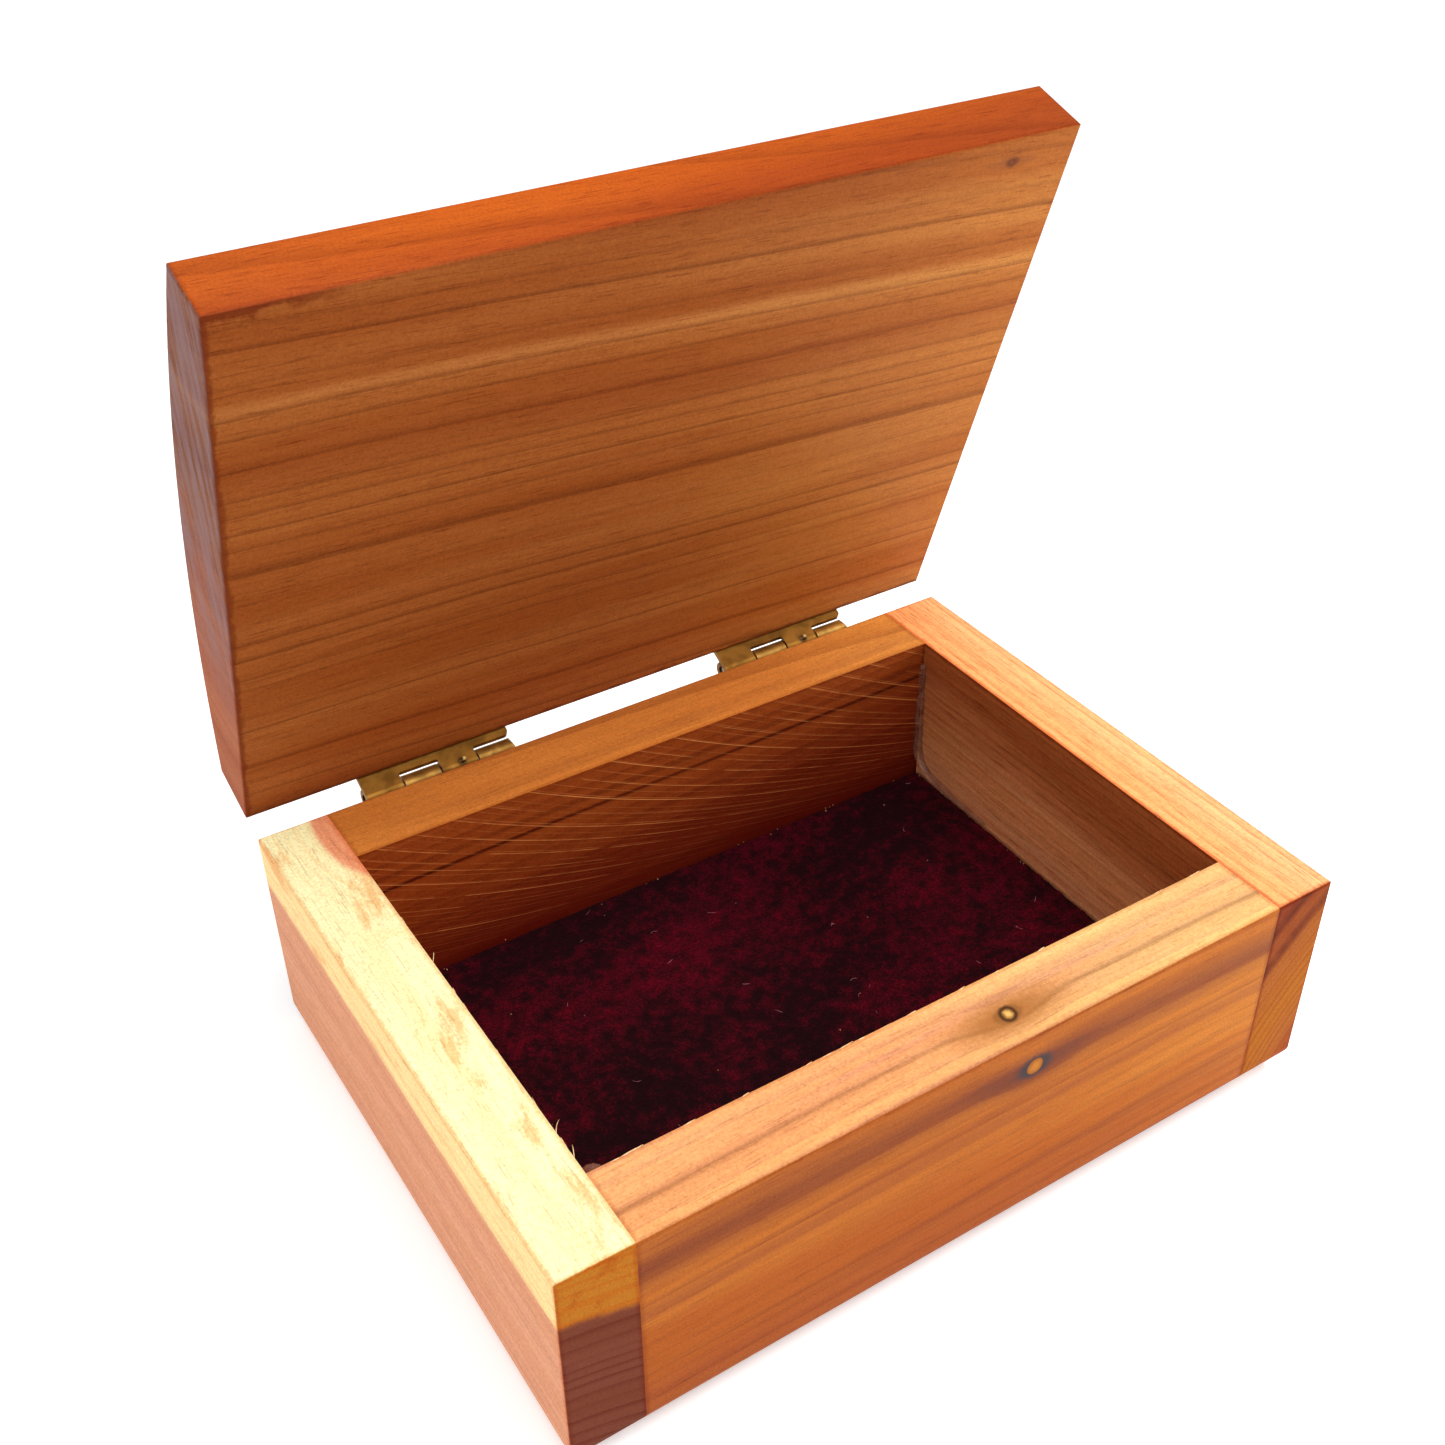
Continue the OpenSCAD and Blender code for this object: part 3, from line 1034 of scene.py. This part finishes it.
@dataclass
class Carcass:
    """The four boards, the bottom panel and the squeezed-out glue in the corners."""

    bead_voxel: float = 0.3
    lump_size: float = 3.0
    lump_height: float = 0.7
    # Radius of each bead, then the places that it runs down
    beads: Dict[str, Tuple] = field(default_factory=lambda: {
        "glue_back_right": (
            1.2, (63.0, 41.8, 40.0), (62.9, 41.7, 33.0), (62.8, 41.6, 24.0), (62.6, 41.3, 18.0),
            (62.7, 39.8, 14.4), (62.9, 36.4, 13.0), (63.05, 30.0, 12.7), (63.15, 18.0, 12.6),
        ),
        "glue_front_left": (
            2.4, (-61.9, -41.2, 44.0), (-62.2, -41.4, 39.0), (-62.6, -41.6, 30.0),
            (-62.8, -41.7, 20.0),
        ),
        "glue_back_left": (0.8, (-62.8, 41.6, 42.5), (-62.7, 41.5, 30.0), (-62.8, 41.6, 15.0)),
        "glue_front_right": (0.9, (62.8, -41.6, 42.0), (62.7, -41.5, 28.0), (62.8, -41.6, 15.0)),
    })

    def build(self) -> None:
        """Dress the boards and add the glue."""
        boards = self._left_end, self._right_end, self._front, self._back, self._bottom
        for finish in (board() for board in boards):
            dress(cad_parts[finish.name], finish.build())
            log.info("dressed %s", finish.name)
        self._glue()

    def _left_end(self) -> Cedar:
        """Paint sapwood above and heartwood below.

        Returns:
            The finish.
        """
        return Cedar(
            name="left_end_board", low=(-BOX_L / 2, -BOX_D / 2, 0),
            high=(-ROOM_X, BOX_D / 2, BOX_H), grain=Grain.ALONG_Y, pith=(-92.4, 0.0, -63.6),
            tilt=(0.0, 0.0), ring=2.6, light=paint(244, 168, 128), deep=paint(236, 156, 112),
            line=paint(206, 112, 74), purple=paint(206, 122, 96), line_strength=0.22,
            purple_strength=0.2, fibre=0.25, wobble=2.0, heart_radius=100.0, heart_soft=0.9,
            heart_ragged=1.6, sap=paint(255, 246, 190), sap_line=paint(254, 226, 158),
            blotch=paint(240, 184, 116), blotch_strength=0.75,
            swells=(Swell((-58.0, 50.0, 45.0), UP, 19.0, -22.0, 2.0),),
            end_tint=(0.24, 0.145, 0.14, 1), end_lines=4.0, sap_end_tint=(0.47, 0.235, 0.04, 1),
            sap_side=(1.16, 0.87, 0.68, 1), arris_tint=paint(232, 160, 96), arris_strength=0.5,
            tints=(
                FaceTint(LEFT, (0.88, 0.95, 1.0, 1)),
                FaceTint(RIGHT, (0.6, 0.5, 0.45, 1), 0.6),
            ),
            seed=3.1,
        )

    def _right_end(self) -> Cedar:
        """Paint orange heartwood outside a ring of ochre, browner towards the pith.

        Returns:
            The finish.
        """
        return Cedar(
            name="right_end_board", low=(ROOM_X, -BOX_D / 2, 0), high=(BOX_L / 2, BOX_D / 2, BOX_H),
            grain=Grain.ALONG_Y, pith=(140.8, 0.0, -33.0), tilt=(0.0, 0.0), ring=1.7,
            light=paint(250, 184, 108), deep=paint(240, 160, 84), line=paint(206, 112, 54),
            purple=paint(222, 134, 80), line_strength=0.5, purple_strength=0.2, wobble=2.0,
            fibre=0.7, pores=0.75,
            bands=(
                Band(108.0, 13.0, paint(250, 180, 104), 1.0, paint(196, 104, 60)),
                Band(105.5, 2.4, paint(244, 168, 96), 0.8, paint(140, 70, 44)),
                Band(99.5, 2.6, paint(244, 168, 96), 0.8, paint(150, 76, 46)),
                Band(87.5, 9.0, paint(244, 176, 108), 1.0, paint(255, 188, 62)),
                Band(72.0, 9.0, paint(236, 150, 92), 1.0, paint(214, 122, 86)),
            ),
            end_tint=(0.48, 0.29, 0.12, 1), end_lines=1.4, arris_tint=paint(196, 116, 56),
            arris_strength=0.7,
            tints=(
                # The inner face: darker as bare wood and as painted shade inside the box, paler and
                # greyer towards the bottom
                FaceTint(
                    LEFT, (0.36, 0.21, 0.19, 1), 0.8,
                    (1.95, 2.95, 4.3, 1), DOWN, (-40.0, -18.0),
                ),
                FaceTint(RIGHT, (0.82, 0.56, 0.48, 1)),
                # Painted highlight: the top pales towards its outer edge
                FaceTint(UP, (1.0, 0.86, 1.0, 1), 0.0, (1.0, 1.26, 1.55, 1), RIGHT, (64.0, 77.0)),
            ),
            planed=PlaneLines(LEFT, 1.5, 0.5), seed=7.4,
        )

    def _front(self) -> Cedar:
        """Paint orange heartwood with purple streaks and the pin knot.

        Returns:
            The finish.
        """
        # The upper knot's pale heart is partly a painted highlight
        upper = Knot(
            at=TOP_EYE, along=(-0.25, -0.38, -0.89), facing=UP, heart_r=1.0, ring_r=1.5, spread=5.4,
            heart=paint(232, 184, 104), core=paint(140, 92, 40), ring=paint(64, 40, 24),
            bruise=paint(120, 74, 36), halo=paint(160, 98, 42), halo_strength=0.85,
            bruise_reach=0.45, bruise_strength=0.5,
        )
        lower = Knot(
            at=FRONT_EYE, along=(0.05, -1.0, -0.1), facing=FRONT, heart_r=1.6, ring_r=1.6,
            spread=4.4, heart=paint(206, 132, 50), core=paint(176, 100, 36), ring=paint(76, 58, 50),
            bruise=paint(62, 64, 70), halo=paint(112, 60, 50), bruise_reach=1.35,
        )
        return Cedar(
            name="front_board", low=(-ROOM_X, -BOX_D / 2, 0), high=(ROOM_X, -ROOM_Y, BOX_H),
            grain=Grain.ALONG_X, pith=(0.0, -25.0, 76.0), tilt=(0.0, 0.6), ring=2.7,
            light=paint(204, 118, 44), deep=paint(186, 96, 34), line=paint(140, 66, 32),
            purple=paint(140, 68, 46), line_strength=0.38, purple_strength=0.5, wobble=3.0,
            fibre=0.35,
            bands=(
                Band(49.8, 4.6, paint(112, 50, 42), 0.62),
                Band(40.3, 0.6, paint(148, 75, 24), 0.75),
                Band(42.8, 1.9, paint(206, 112, 36), 0.45),
                Band(57.5, 2.6, paint(150, 72, 46), 0.4),
                Band(76.0, 6.0, paint(160, 70, 44), 0.5),
            ),
            knots=(upper, lower), swells=(Swell(FRONT_EYE, (0.14, -0.63, -0.77), 6.0, -1.6),),
            tints=(
                # Painted light: the top paled to cream as light from above shows it, paler still
                # towards the right, and the front face lighter towards the right
                FaceTint(UP, (1.5, 2.5, 7.0, 1), 0.0, (1.0, 1.32, 1.3, 1), RIGHT, (-20.0, 50.0)),
                FaceTint(FRONT, (1.0, 1.0, 1.0, 1), 0.0, (1.1, 1.24, 1.1, 1)),
            ),
            seed=1.7,
        )

    def _back(self) -> Cedar:
        """Paint red-brown wood, sawn on the inside, where painted shade darkens it.

        Returns:
            The finish.
        """
        return Cedar(
            name="back_board", low=(-ROOM_X, ROOM_Y, 0), high=(ROOM_X, BOX_D / 2, BOX_H),
            grain=Grain.ALONG_X, pith=(0.0, 66.0, -26.0), tilt=(-0.5, -1.0), ring=2.5,
            light=paint(226, 140, 58), deep=paint(202, 114, 44), line=paint(150, 74, 32),
            purple=paint(150, 80, 44), line_strength=0.45, wobble=2.0, fibre=0.4,
            bands=(
                Band(69.0, 0.8, paint(130, 62, 26), 0.35),
                Band(66.6, 0.55, paint(96, 36, 16), 1.0),
                Band(42.0, 17.0, paint(168, 66, 34), 1.0),
            ),
            tints=(
                # The inner face: darker as bare wood and as painted shade inside the box, darker
                # still towards the bottom
                FaceTint(
                    FRONT, (0.47, 0.27, 0.28, 1), 0.7,
                    (0.72, 0.5, 0.7, 1), (0.1, 0, -1), (-38.0, -20.0),
                ),
                FaceTint(UP, (0.88, 0.88, 1.0, 1), 0.0, (1.12, 1.3, 1.35, 1), RIGHT, (20.0, 62.0)),
            ),
            arcs=SawArcs(FRONT, 260.0, 11.0, 7.8, paint(240, 152, 84), 1.0, (9.0, 27.0)), seed=5.2,
        )

    def _bottom(self) -> Cedar:
        """Paint a plain panel.

        Returns:
            The finish.
        """
        return Cedar(
            name="bottom_panel", low=(-ROOM_X, -ROOM_Y, 0), high=(ROOM_X, ROOM_Y, 9.5),
            grain=Grain.ALONG_X, pith=(0.0, 10.0, -90.0), tilt=(1.5, 0.6), ring=2.4,
            light=paint(206, 146, 98), deep=paint(178, 112, 70), line=paint(132, 78, 50),
            purple=paint(138, 84, 66), coat=0.05, seed=9.9,
        )

    def _glue(self) -> None:
        """Clear dried glue that squeezed out of the corners and ran down."""
        pale, deep = paint(216, 160, 134), paint(170, 108, 84)
        finish = Plain("dried_glue", pale, deep, 0.5, 0.2, 0.0002, coat=0.6, alpha=0.26).build()
        room_size = (2 * ROOM_X * MM, 2 * ROOM_Y * MM, 4 * BOX_H * MM)
        pick_only()
        bpy.ops.mesh.primitive_cube_add(size=1, scale=room_size)
        room = bpy.context.object
        for name, (depth, *points) in self.beads.items():
            last = len(points) - 1
            taper = [1.0 - 0.3 * abs(2 * i / last - 1.0) for i in range(last + 1)]
            taper[last] -= 0.35
            bead = strand(points, taper, depth, 3)
            remesh = bead.modifiers.new("remesh", "REMESH")
            remesh.mode, remesh.voxel_size = "VOXEL", self.bead_voxel * MM
            roughen(bead, "glue_lumps", self.lump_size, self.lump_height)
            smooth = bead.modifiers.new("smooth", "SMOOTH")
            smooth.iterations = 3
            walls = bead.modifiers.new("walls", "BOOLEAN")
            walls.operation, walls.solver, walls.object = "INTERSECT", "EXACT", room
            add_to_box(settle(bead, name, 60), finish)
        bpy.data.objects.remove(room)


@dataclass(frozen=True)
class Arris:
    """An arris that frays: where slivers may start, how thick they are and how much they rise."""

    start: Tuple[float, float]
    thick: Tuple[float, float]
    rise: float


@dataclass
class RimSplinters:
    """Slivers that the plane lifted along the inner arrises of the left and front boards."""

    slivers: int = 34
    reach: Tuple[float, float] = (1.2, 3.6)
    lift: float = 0.09
    foot: float = 44.88
    inset: float = 0.12
    front: Arris = Arris((-60, 58), (0.1, 0.2), 0.5)
    left: Arris = Arris((-40, 36), (0.08, 0.16), 0.4)
    # Y of the four points of each longer sliver, and X of the last two
    curled: Tuple[Tuple[Tuple[float, ...], Tuple[float, float]], ...] = (
        ((-33.0, -32.2, -31.5, -31.1), (-62.4, -61.7)),
        ((-38.6, -37.8, -37.2, -36.4), (-62.6, -62.4)),
        ((10.2, 10.7, 11.3, 12.0), (-62.5, -62.2)),
    )

    def build(self) -> None:
        """Build the slivers of both boards."""
        pale = Plain("raised_fibre", paint(250, 214, 160), paint(222, 160, 104), 1.2, 0.6).build()
        dice = random.Random(5)
        left = [self._curled(*places) for places in self.curled]
        front = []
        for index in range(self.slivers):
            (front if index % 4 else left).append(self._sliver(dice, bool(index % 4)))
        for slivers, side in ((left, "left"), (front, "front")):
            piece = settle(join(slivers), f"{side}_rim_slivers", 60)
            add_to_box(piece, pale)

    @staticmethod
    def _curled(run: Sequence[float], off: Tuple[float, float]) -> Piece:
        """Draw one longer sliver that stands up from the left board.

        Args:
            run: Y of its four points.
            off: X of the last two.

        Returns:
            The sliver.
        """
        rooted, rising = (-63.25, -62.9), (44.7, 44.9, 45.1, 45.2)
        return strand(list(zip((*rooted, *off), run, rising)), (1.0, 0.9, 0.7, 0.3), 0.08)

    def _sliver(self, dice: random.Random, front: bool) -> Piece:
        """Draw one short sliver.

        Args:
            dice: Source of its chances.
            front: Whether it lies on the front board, else on the left one.

        Returns:
            The sliver.
        """
        arris = self.front if front else self.left
        along, lift = dice.uniform(*self.reach), dice.uniform(0.0, self.lift)
        start = dice.uniform(*arris.start)
        points = []
        for step in range(4):
            run, off = start + along * step / 3, lift * step - self.inset
            height = self.foot + lift * arris.rise * step
            points.append((run, off - ROOM_Y, height) if front else (off - ROOM_X, run, height))
        thick = dice.uniform(*arris.thick)
        return strand(points, (0.4, 1.0, 0.9, 0.3), thick)


@dataclass
class VelvetFloor:
    """The loose card, its velvet, and the lint and dust that lie on it."""

    width: float = 125.6
    depth: float = 83.2
    cells: Tuple[int, int] = (156, 104)
    thick: float = 0.9
    trim: float = 0.8
    sunk: float = 0.35
    fray: Tuple[float, float] = (2.2, 0.7)  # size and depth
    # Name, size and height of what makes the top uneven
    waves: Tuple[Tuple[str, float, float], ...] = (
        ("velvet_swell", 18.0, 0.35),
        ("velvet_pile", 1.3, 0.22),
    )
    hairs: int = 26
    hair_r: float = 0.045
    crumbs: int = 46
    crumb_r: Tuple[float, float] = (0.07, 0.17)
    # Where lint and crumbs may lie: anywhere, by the back wall and by the right one
    open_x: Tuple[float, float] = (-58, 58)
    open_y: Tuple[float, float] = (-36, 39)
    back_x: Tuple[float, float] = (-61, 61)
    back_gap: Tuple[float, float] = (0.5, 2.2)
    right_gap: Tuple[float, float] = (0.5, 2.0)
    right_y: Tuple[float, float] = (-38, 40)

    def build(self) -> None:
        """Dress the card and add velvet, lint and crumbs."""
        card = Plain("lining_card", paint(226, 222, 208), paint(196, 188, 170), 0.3, 0.85)
        dress(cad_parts["lining_card"], card.build())
        velvet, lint, crumbs = self._velvet(), self._lint(), self._crumbs()
        dust = Plain("sawdust", paint(214, 160, 120), paint(150, 92, 60), 1.4, 0.8)
        fluff = Plain("lint", paint(190, 130, 136), paint(132, 60, 70), 1.0, 0.8)
        add_to_box(velvet, Velvet("velvet_pile").build())
        add_to_box(lint, fluff.build())
        add_to_box(crumbs, dust.build())
        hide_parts("velvet_lining")

    def _velvet(self) -> Piece:
        """Cut the sheet, a little uneven on top and ragged at its edge.

        Returns:
            The velvet.
        """
        along, across = (self.width - self.trim) * MM, (self.depth - self.trim) * MM
        pick_only()
        columns, rows = self.cells
        bpy.ops.mesh.primitive_grid_add(x_subdivisions=columns, y_subdivisions=rows, size=1)
        sheet = bpy.context.object
        bpy.ops.object.mode_set(mode="EDIT")
        bpy.ops.mesh.select_all(action="SELECT")
        bpy.ops.transform.resize(value=(along, across, 1), center_override=(0, 0, 0))
        bpy.ops.transform.translate(value=(0, 0, (VELVET_TOP - self.sunk) * MM))
        bpy.ops.object.mode_set(mode="OBJECT")
        hair = 0.01 * MM
        edge = [
            vertex.index for vertex in sheet.data.vertices
            if abs(vertex.co.x) > along / 2 - hair or abs(vertex.co.y) > across / 2 - hair
        ]
        sheet.vertex_groups.new(name="rim").add(edge, 1.0, "REPLACE")
        for axis in ("X", "Y"):
            roughen(sheet, "velvet_edge", *self.fray, axis).vertex_group = "rim"
        for wave in self.waves:
            roughen(sheet, *wave, "Z")
        body = sheet.modifiers.new("thickness", "SOLIDIFY")
        body.thickness, body.offset = self.thick * MM, -1
        return settle(sheet, "velvet_sheet", 80)

    def _anywhere(self, dice: random.Random) -> Tuple[float, float]:
        """Draw a place on the pile."""
        return dice.uniform(*self.open_x), dice.uniform(*self.open_y)

    def _lint(self) -> Piece:
        """Scatter loose pale hairs on the pile.

        Returns:
            The hairs.
        """
        dice = random.Random(11)
        hairs = []
        for _ in range(self.hairs):
            x, y = self._anywhere(dice)
            way, curl = dice.uniform(0, math.tau), dice.uniform(-0.9, 0.9)
            reach = dice.uniform(0.6, 2.0)
            points = []
            for _ in range(4):
                points.append((x, y, VELVET_TOP + dice.uniform(-0.05, 0.35)))
                x += math.cos(way) * reach / 3
                y += math.sin(way) * reach / 3
                way += curl
            hairs.append(strand(points, (0.6, 1, 1, 0.5), self.hair_r))
        return settle(join(hairs), "velvet_lint", 60)

    def _crumbs(self) -> Piece:
        """Scatter sawdust along the back and right walls' foot, and a third of it on the pile.

        Returns:
            The crumbs.
        """
        dice = random.Random(23)
        bits = []
        for index in range(self.crumbs):
            if index % 3:
                x, y = dice.uniform(*self.back_x), ROOM_Y - dice.uniform(*self.back_gap)
                if index % 3 == 2:
                    x, y = ROOM_X - dice.uniform(*self.right_gap), dice.uniform(*self.right_y)
            else:
                x, y = self._anywhere(dice)
            size = dice.uniform(*self.crumb_r)
            place = (x * MM, y * MM, (VELVET_TOP + size * 0.4) * MM)
            pick_only()
            bpy.ops.mesh.primitive_ico_sphere_add(subdivisions=1, radius=size * MM, location=place)
            bits.append(bpy.context.object)
            bpy.ops.object.mode_set(mode="EDIT")
            bpy.ops.mesh.select_all(action="SELECT")
            bpy.ops.transform.vertex_random(offset=size * 0.5 * MM, seed=index)
            bpy.ops.object.mode_set(mode="OBJECT")
        return settle(join(bits), "sawdust_crumbs", 20)


@dataclass
class Lid:
    """The domed one-board lid."""

    def build(self) -> None:
        """Dress the lid's board."""
        dress(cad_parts["lid_board"], self._board().build())
        log.info("dressed lid_board")

    def _board(self) -> Cedar:
        """Paint golden wood below, and orange-red lacquer on the edges and the dome.

        Returns:
            The finish.
        """
        knot = Knot(
            at=LID_EYE, along=(0.1, 0.2, 1.0), facing=DOWN, heart_r=0.3, ring_r=0.5, spread=1.7,
            heart=paint(140, 74, 36), core=paint(120, 60, 30), ring=paint(104, 54, 30),
            bruise=paint(104, 54, 30), halo=paint(140, 80, 46), halo_strength=0.5,
        )
        return Cedar(
            name="lid_board", low=(-BOX_L / 2, -BOX_D / 2, LID_UNDER),
            high=(BOX_L / 2, BOX_D / 2 + LID_OVERHANG, LID_TOP), grain=Grain.ALONG_X,
            pith=(0.0, -130.0, 78.0), tilt=(2.5, 0.8), ring=4.6, light=paint(214, 144, 70),
            deep=paint(194, 118, 50), line=paint(112, 54, 22), purple=paint(164, 88, 36),
            line_strength=0.46, purple_strength=0.12, late_power=7.0, wobble=6.0, fibre=0.5,
            pores=0.55,
            bands=(
                Band(100.4, 2.4, paint(236, 172, 92), 0.7),
                Band(112.0, 6.0, paint(176, 96, 40), 0.4),
            ),
            # The ends: darker end grain with a blue cast of painted sheen, and a streaky
            # grey-purple painted sheen laid over them
            end_tint=(0.39, 0.32, 0.52, 1), end_lines=0.3, end_sheen=paint(146, 122, 130),
            end_sheen_strength=0.55, end_sheen_fade=(4.0, 44.0), knots=(knot,),
            tints=(
                FaceTint(FRONT, (0.86, 0.42, 0.2, 1), 0.0, (0.85, 0.85, 1.0, 1)),
                FaceTint(
                    FRONT, (0.88, 0.84, 0.9, 1), 0.0,
                    (1.3, 1.5, 1.1, 1), (-0.05, 0, 1), (47.0, 56.0),
                ),
                FaceTint(
                    FRONT, (0.82, 0.74, 1.05, 1), 0.0,
                    (1.2, 1.3, 0.95, 1), RIGHT, (-72.0, -28.0),
                ),
                FaceTint(UP, (1.0, 0.6, 0.35, 1)),
                FaceTint(BACK, (1.0, 0.56, 0.3, 1)),
                # The underside: darker bare wood, lighter towards the right as painted light
                FaceTint(DOWN, (0.57, 0.41, 0.41, 1), 0.4, (1.35, 1.64, 1.5, 1)),
                # Painted sheen: the left end lighter towards the back
                FaceTint(LEFT, (1.0, 1.0, 1.0, 1), 0.0, (1.75, 1.5, 1.55, 1), BACK, (-28.0, 34.0)),
            ),
            stains=(
                Stain(DOWN, BACK, -BOX_D / 2, 2.6, paint(110, 38, 12), 0.8, (RIGHT, -66.0, -52.0)),
                Stain(DOWN, RIGHT, -BOX_L / 2, 1.5, paint(120, 50, 20), 0.7),
                Stain(DOWN, FRONT, -BOX_D / 2 - LID_OVERHANG, 1.6, paint(96, 40, 18), 0.6),
            ),
            open_lid=True, seed=4.4,
        )


@dataclass
class Hinge:
    """One rolled brass hinge with its pin and nails."""

    side: str

    def build(self, finishes: Dict[str, Material]) -> None:
        """Dress the hinge's pieces.

        Args:
            finishes: Finish of each piece, by the end of the piece's name.
        """
        for piece, material in finishes.items():
            dress(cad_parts[f"{self.side}_hinge_{piece}"], material)
        log.info("dressed the %s hinge", self.side)


@dataclass
class Studio:
    """Pale floor, white surround, soft lamps and the camera."""

    # The camera: pixels of a frame this wide, radians, and millimetres for its place
    focal: float = 1723.416
    centre: Tuple[float, float] = (752.605, 738.199)
    azimuth: float = -0.5785226
    elevation: float = 0.6320096
    roll: float = 0.0011384
    position: Triple = (-132.190, -191.322, 241.681)
    frame_width: int = 1445
    sensor: float = 36.0
    white: Colour = (1, 1, 1, 1)
    glow: Colour = (1.0, 0.985, 0.965, 1)
    glow_strength: float = 0.6
    floor_tones: Tuple[Colour, Colour] = ((0.86, 0.86, 0.86, 1), (0.9, 0.9, 0.9, 1))
    floor_glow: Colour = (0.34, 0.36, 0.37, 1)
    aim: Triple = (0, 0, 0.05)
    # Name, place and side in metres, and watts
    lamps: Tuple[Tuple[str, Triple, float, float], ...] = (
        ("key_lamp", (0.1, -0.2, 1.0), 0.9, 7.0),
        ("side_lamp", (0.3, 0.0, 0.14), 0.12, 0.7),
        ("left_lamp", (-0.55, -0.05, 0.2), 0.35, 0.75),
        ("fill_lamp", (0.36, -0.26, 0.12), 0.22, 0.35),
    )

    def build(self) -> None:
        """Set the stage."""
        bpy.context.scene.view_settings.view_transform = "Standard"
        self._camera()
        self._world()
        self._floor()
        for lamp in self.lamps:
            self._lamp(*lamp)
        log.info("set the stage")

    def _camera(self) -> None:
        """Place the camera."""
        az, el = self.azimuth, self.elevation
        right = Vector((math.cos(az), math.sin(az), 0))
        ahead = Vector((-math.sin(az) * math.cos(el), math.cos(az) * math.cos(el), -math.sin(el)))
        up = right.cross(ahead)
        cos, sin = math.cos(self.roll), math.sin(self.roll)
        right, up = cos * right + sin * up, cos * up - sin * right
        data = bpy.data.cameras.new("camera")
        data.sensor_width = self.sensor
        data.lens = self.sensor * self.focal / self.frame_width
        data.shift_x = (self.frame_width / 2 - self.centre[0]) / self.frame_width
        data.shift_y = (self.centre[1] - self.frame_width / 2) / self.frame_width
        data.clip_start = 0.01
        camera = bpy.data.objects.new("camera", data)
        bpy.context.scene.collection.objects.link(camera)
        turn = Matrix((right, up, -ahead)).transposed().to_4x4()
        camera.matrix_world = Matrix.Translation(Vector(self.position) * MM) @ turn
        bpy.context.scene.camera = camera

    def _world(self) -> None:
        """Surround the box with white for the camera, and with less of it as light."""
        world = bpy.data.worlds.new("surround")
        world.use_nodes = True
        tree = world.node_tree
        tree.nodes.clear()
        rays = tree.nodes.new("ShaderNodeLightPath")
        mix = tree.nodes.new("ShaderNodeMixShader")
        tree.links.new(rays.outputs["Is Camera Ray"], mix.inputs[0])
        shades = ((1, self.glow, self.glow_strength), (2, self.white, 1.0))
        for socket, colour, strength in shades:
            surround = tree.nodes.new("ShaderNodeBackground")
            surround.inputs["Color"].default_value = colour
            surround.inputs["Strength"].default_value = strength
            tree.links.new(surround.outputs[0], mix.inputs[socket])
        output = tree.nodes.new("ShaderNodeOutputWorld")
        tree.links.new(mix.outputs[0], output.inputs["Surface"])
        bpy.context.scene.world = world

    def _floor(self) -> None:
        """Lay a wide pale floor that keeps the box's shadow."""
        pick_only()
        bpy.ops.mesh.primitive_plane_add(size=6, location=(0, 0, 0))
        floor = settle(bpy.context.object, "floor")
        bench = Bench("pale_floor")
        rays = bench.node("ShaderNodeLightPath", output="Is Camera Ray")
        speckle = bench.noise(bench.place(), 60, 2)
        dress(floor, bench.finish(
            Base_Color=bench.mix(speckle, *self.floor_tones),
            Roughness=0.9,
            Specular_IOR_Level=0.0,
            Emission_Color=bench.mix(rays, (0, 0, 0, 1), self.floor_glow),
            Emission_Strength=1.0,
        ))

    def _lamp(self, name: str, place: Triple, size: float, power: float) -> None:
        """Hang a soft lamp that looks at the box.

        Args:
            name: Its name.
            place: Its middle in metres.
            size: Its side in metres.
            power: Its power in watts.
        """
        data = bpy.data.lights.new(name, "AREA")
        data.shape, data.size, data.energy = "SQUARE", size, power
        lamp = bpy.data.objects.new(name, data)
        bpy.context.scene.collection.objects.link(lamp)
        lamp.location = place
        lamp.rotation_euler = (Vector(self.aim) - Vector(place)).to_track_quat("-Z", "Y").to_euler()


def main() -> None:
    """Build the stage and the sub-assemblies in order."""
    logging.basicConfig(level=logging.INFO, format="%(name)s: %(message)s")
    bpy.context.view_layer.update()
    Studio().build()
    Carcass().build()
    RimSplinters().build()
    VelvetFloor().build()
    Lid().build()
    nail = Brass("nail_brass", bright=paint(214, 176, 104), rough=0.26).build()
    finishes = {
        "box_leaf": Brass("box_leaf_brass", knuckle_pale=1.0).build(),
        "lid_leaf": Brass("hinge_brass", marks=(PUNCH_LEFT, PUNCH_RIGHT)).build(),
        "pin": Steel("pin_steel").build(),
        "box_nails": nail,
        "lid_nails": nail,
    }
    for side in ("left", "right"):
        Hinge(side).build(finishes)


if __name__ == "__main__":
    main()
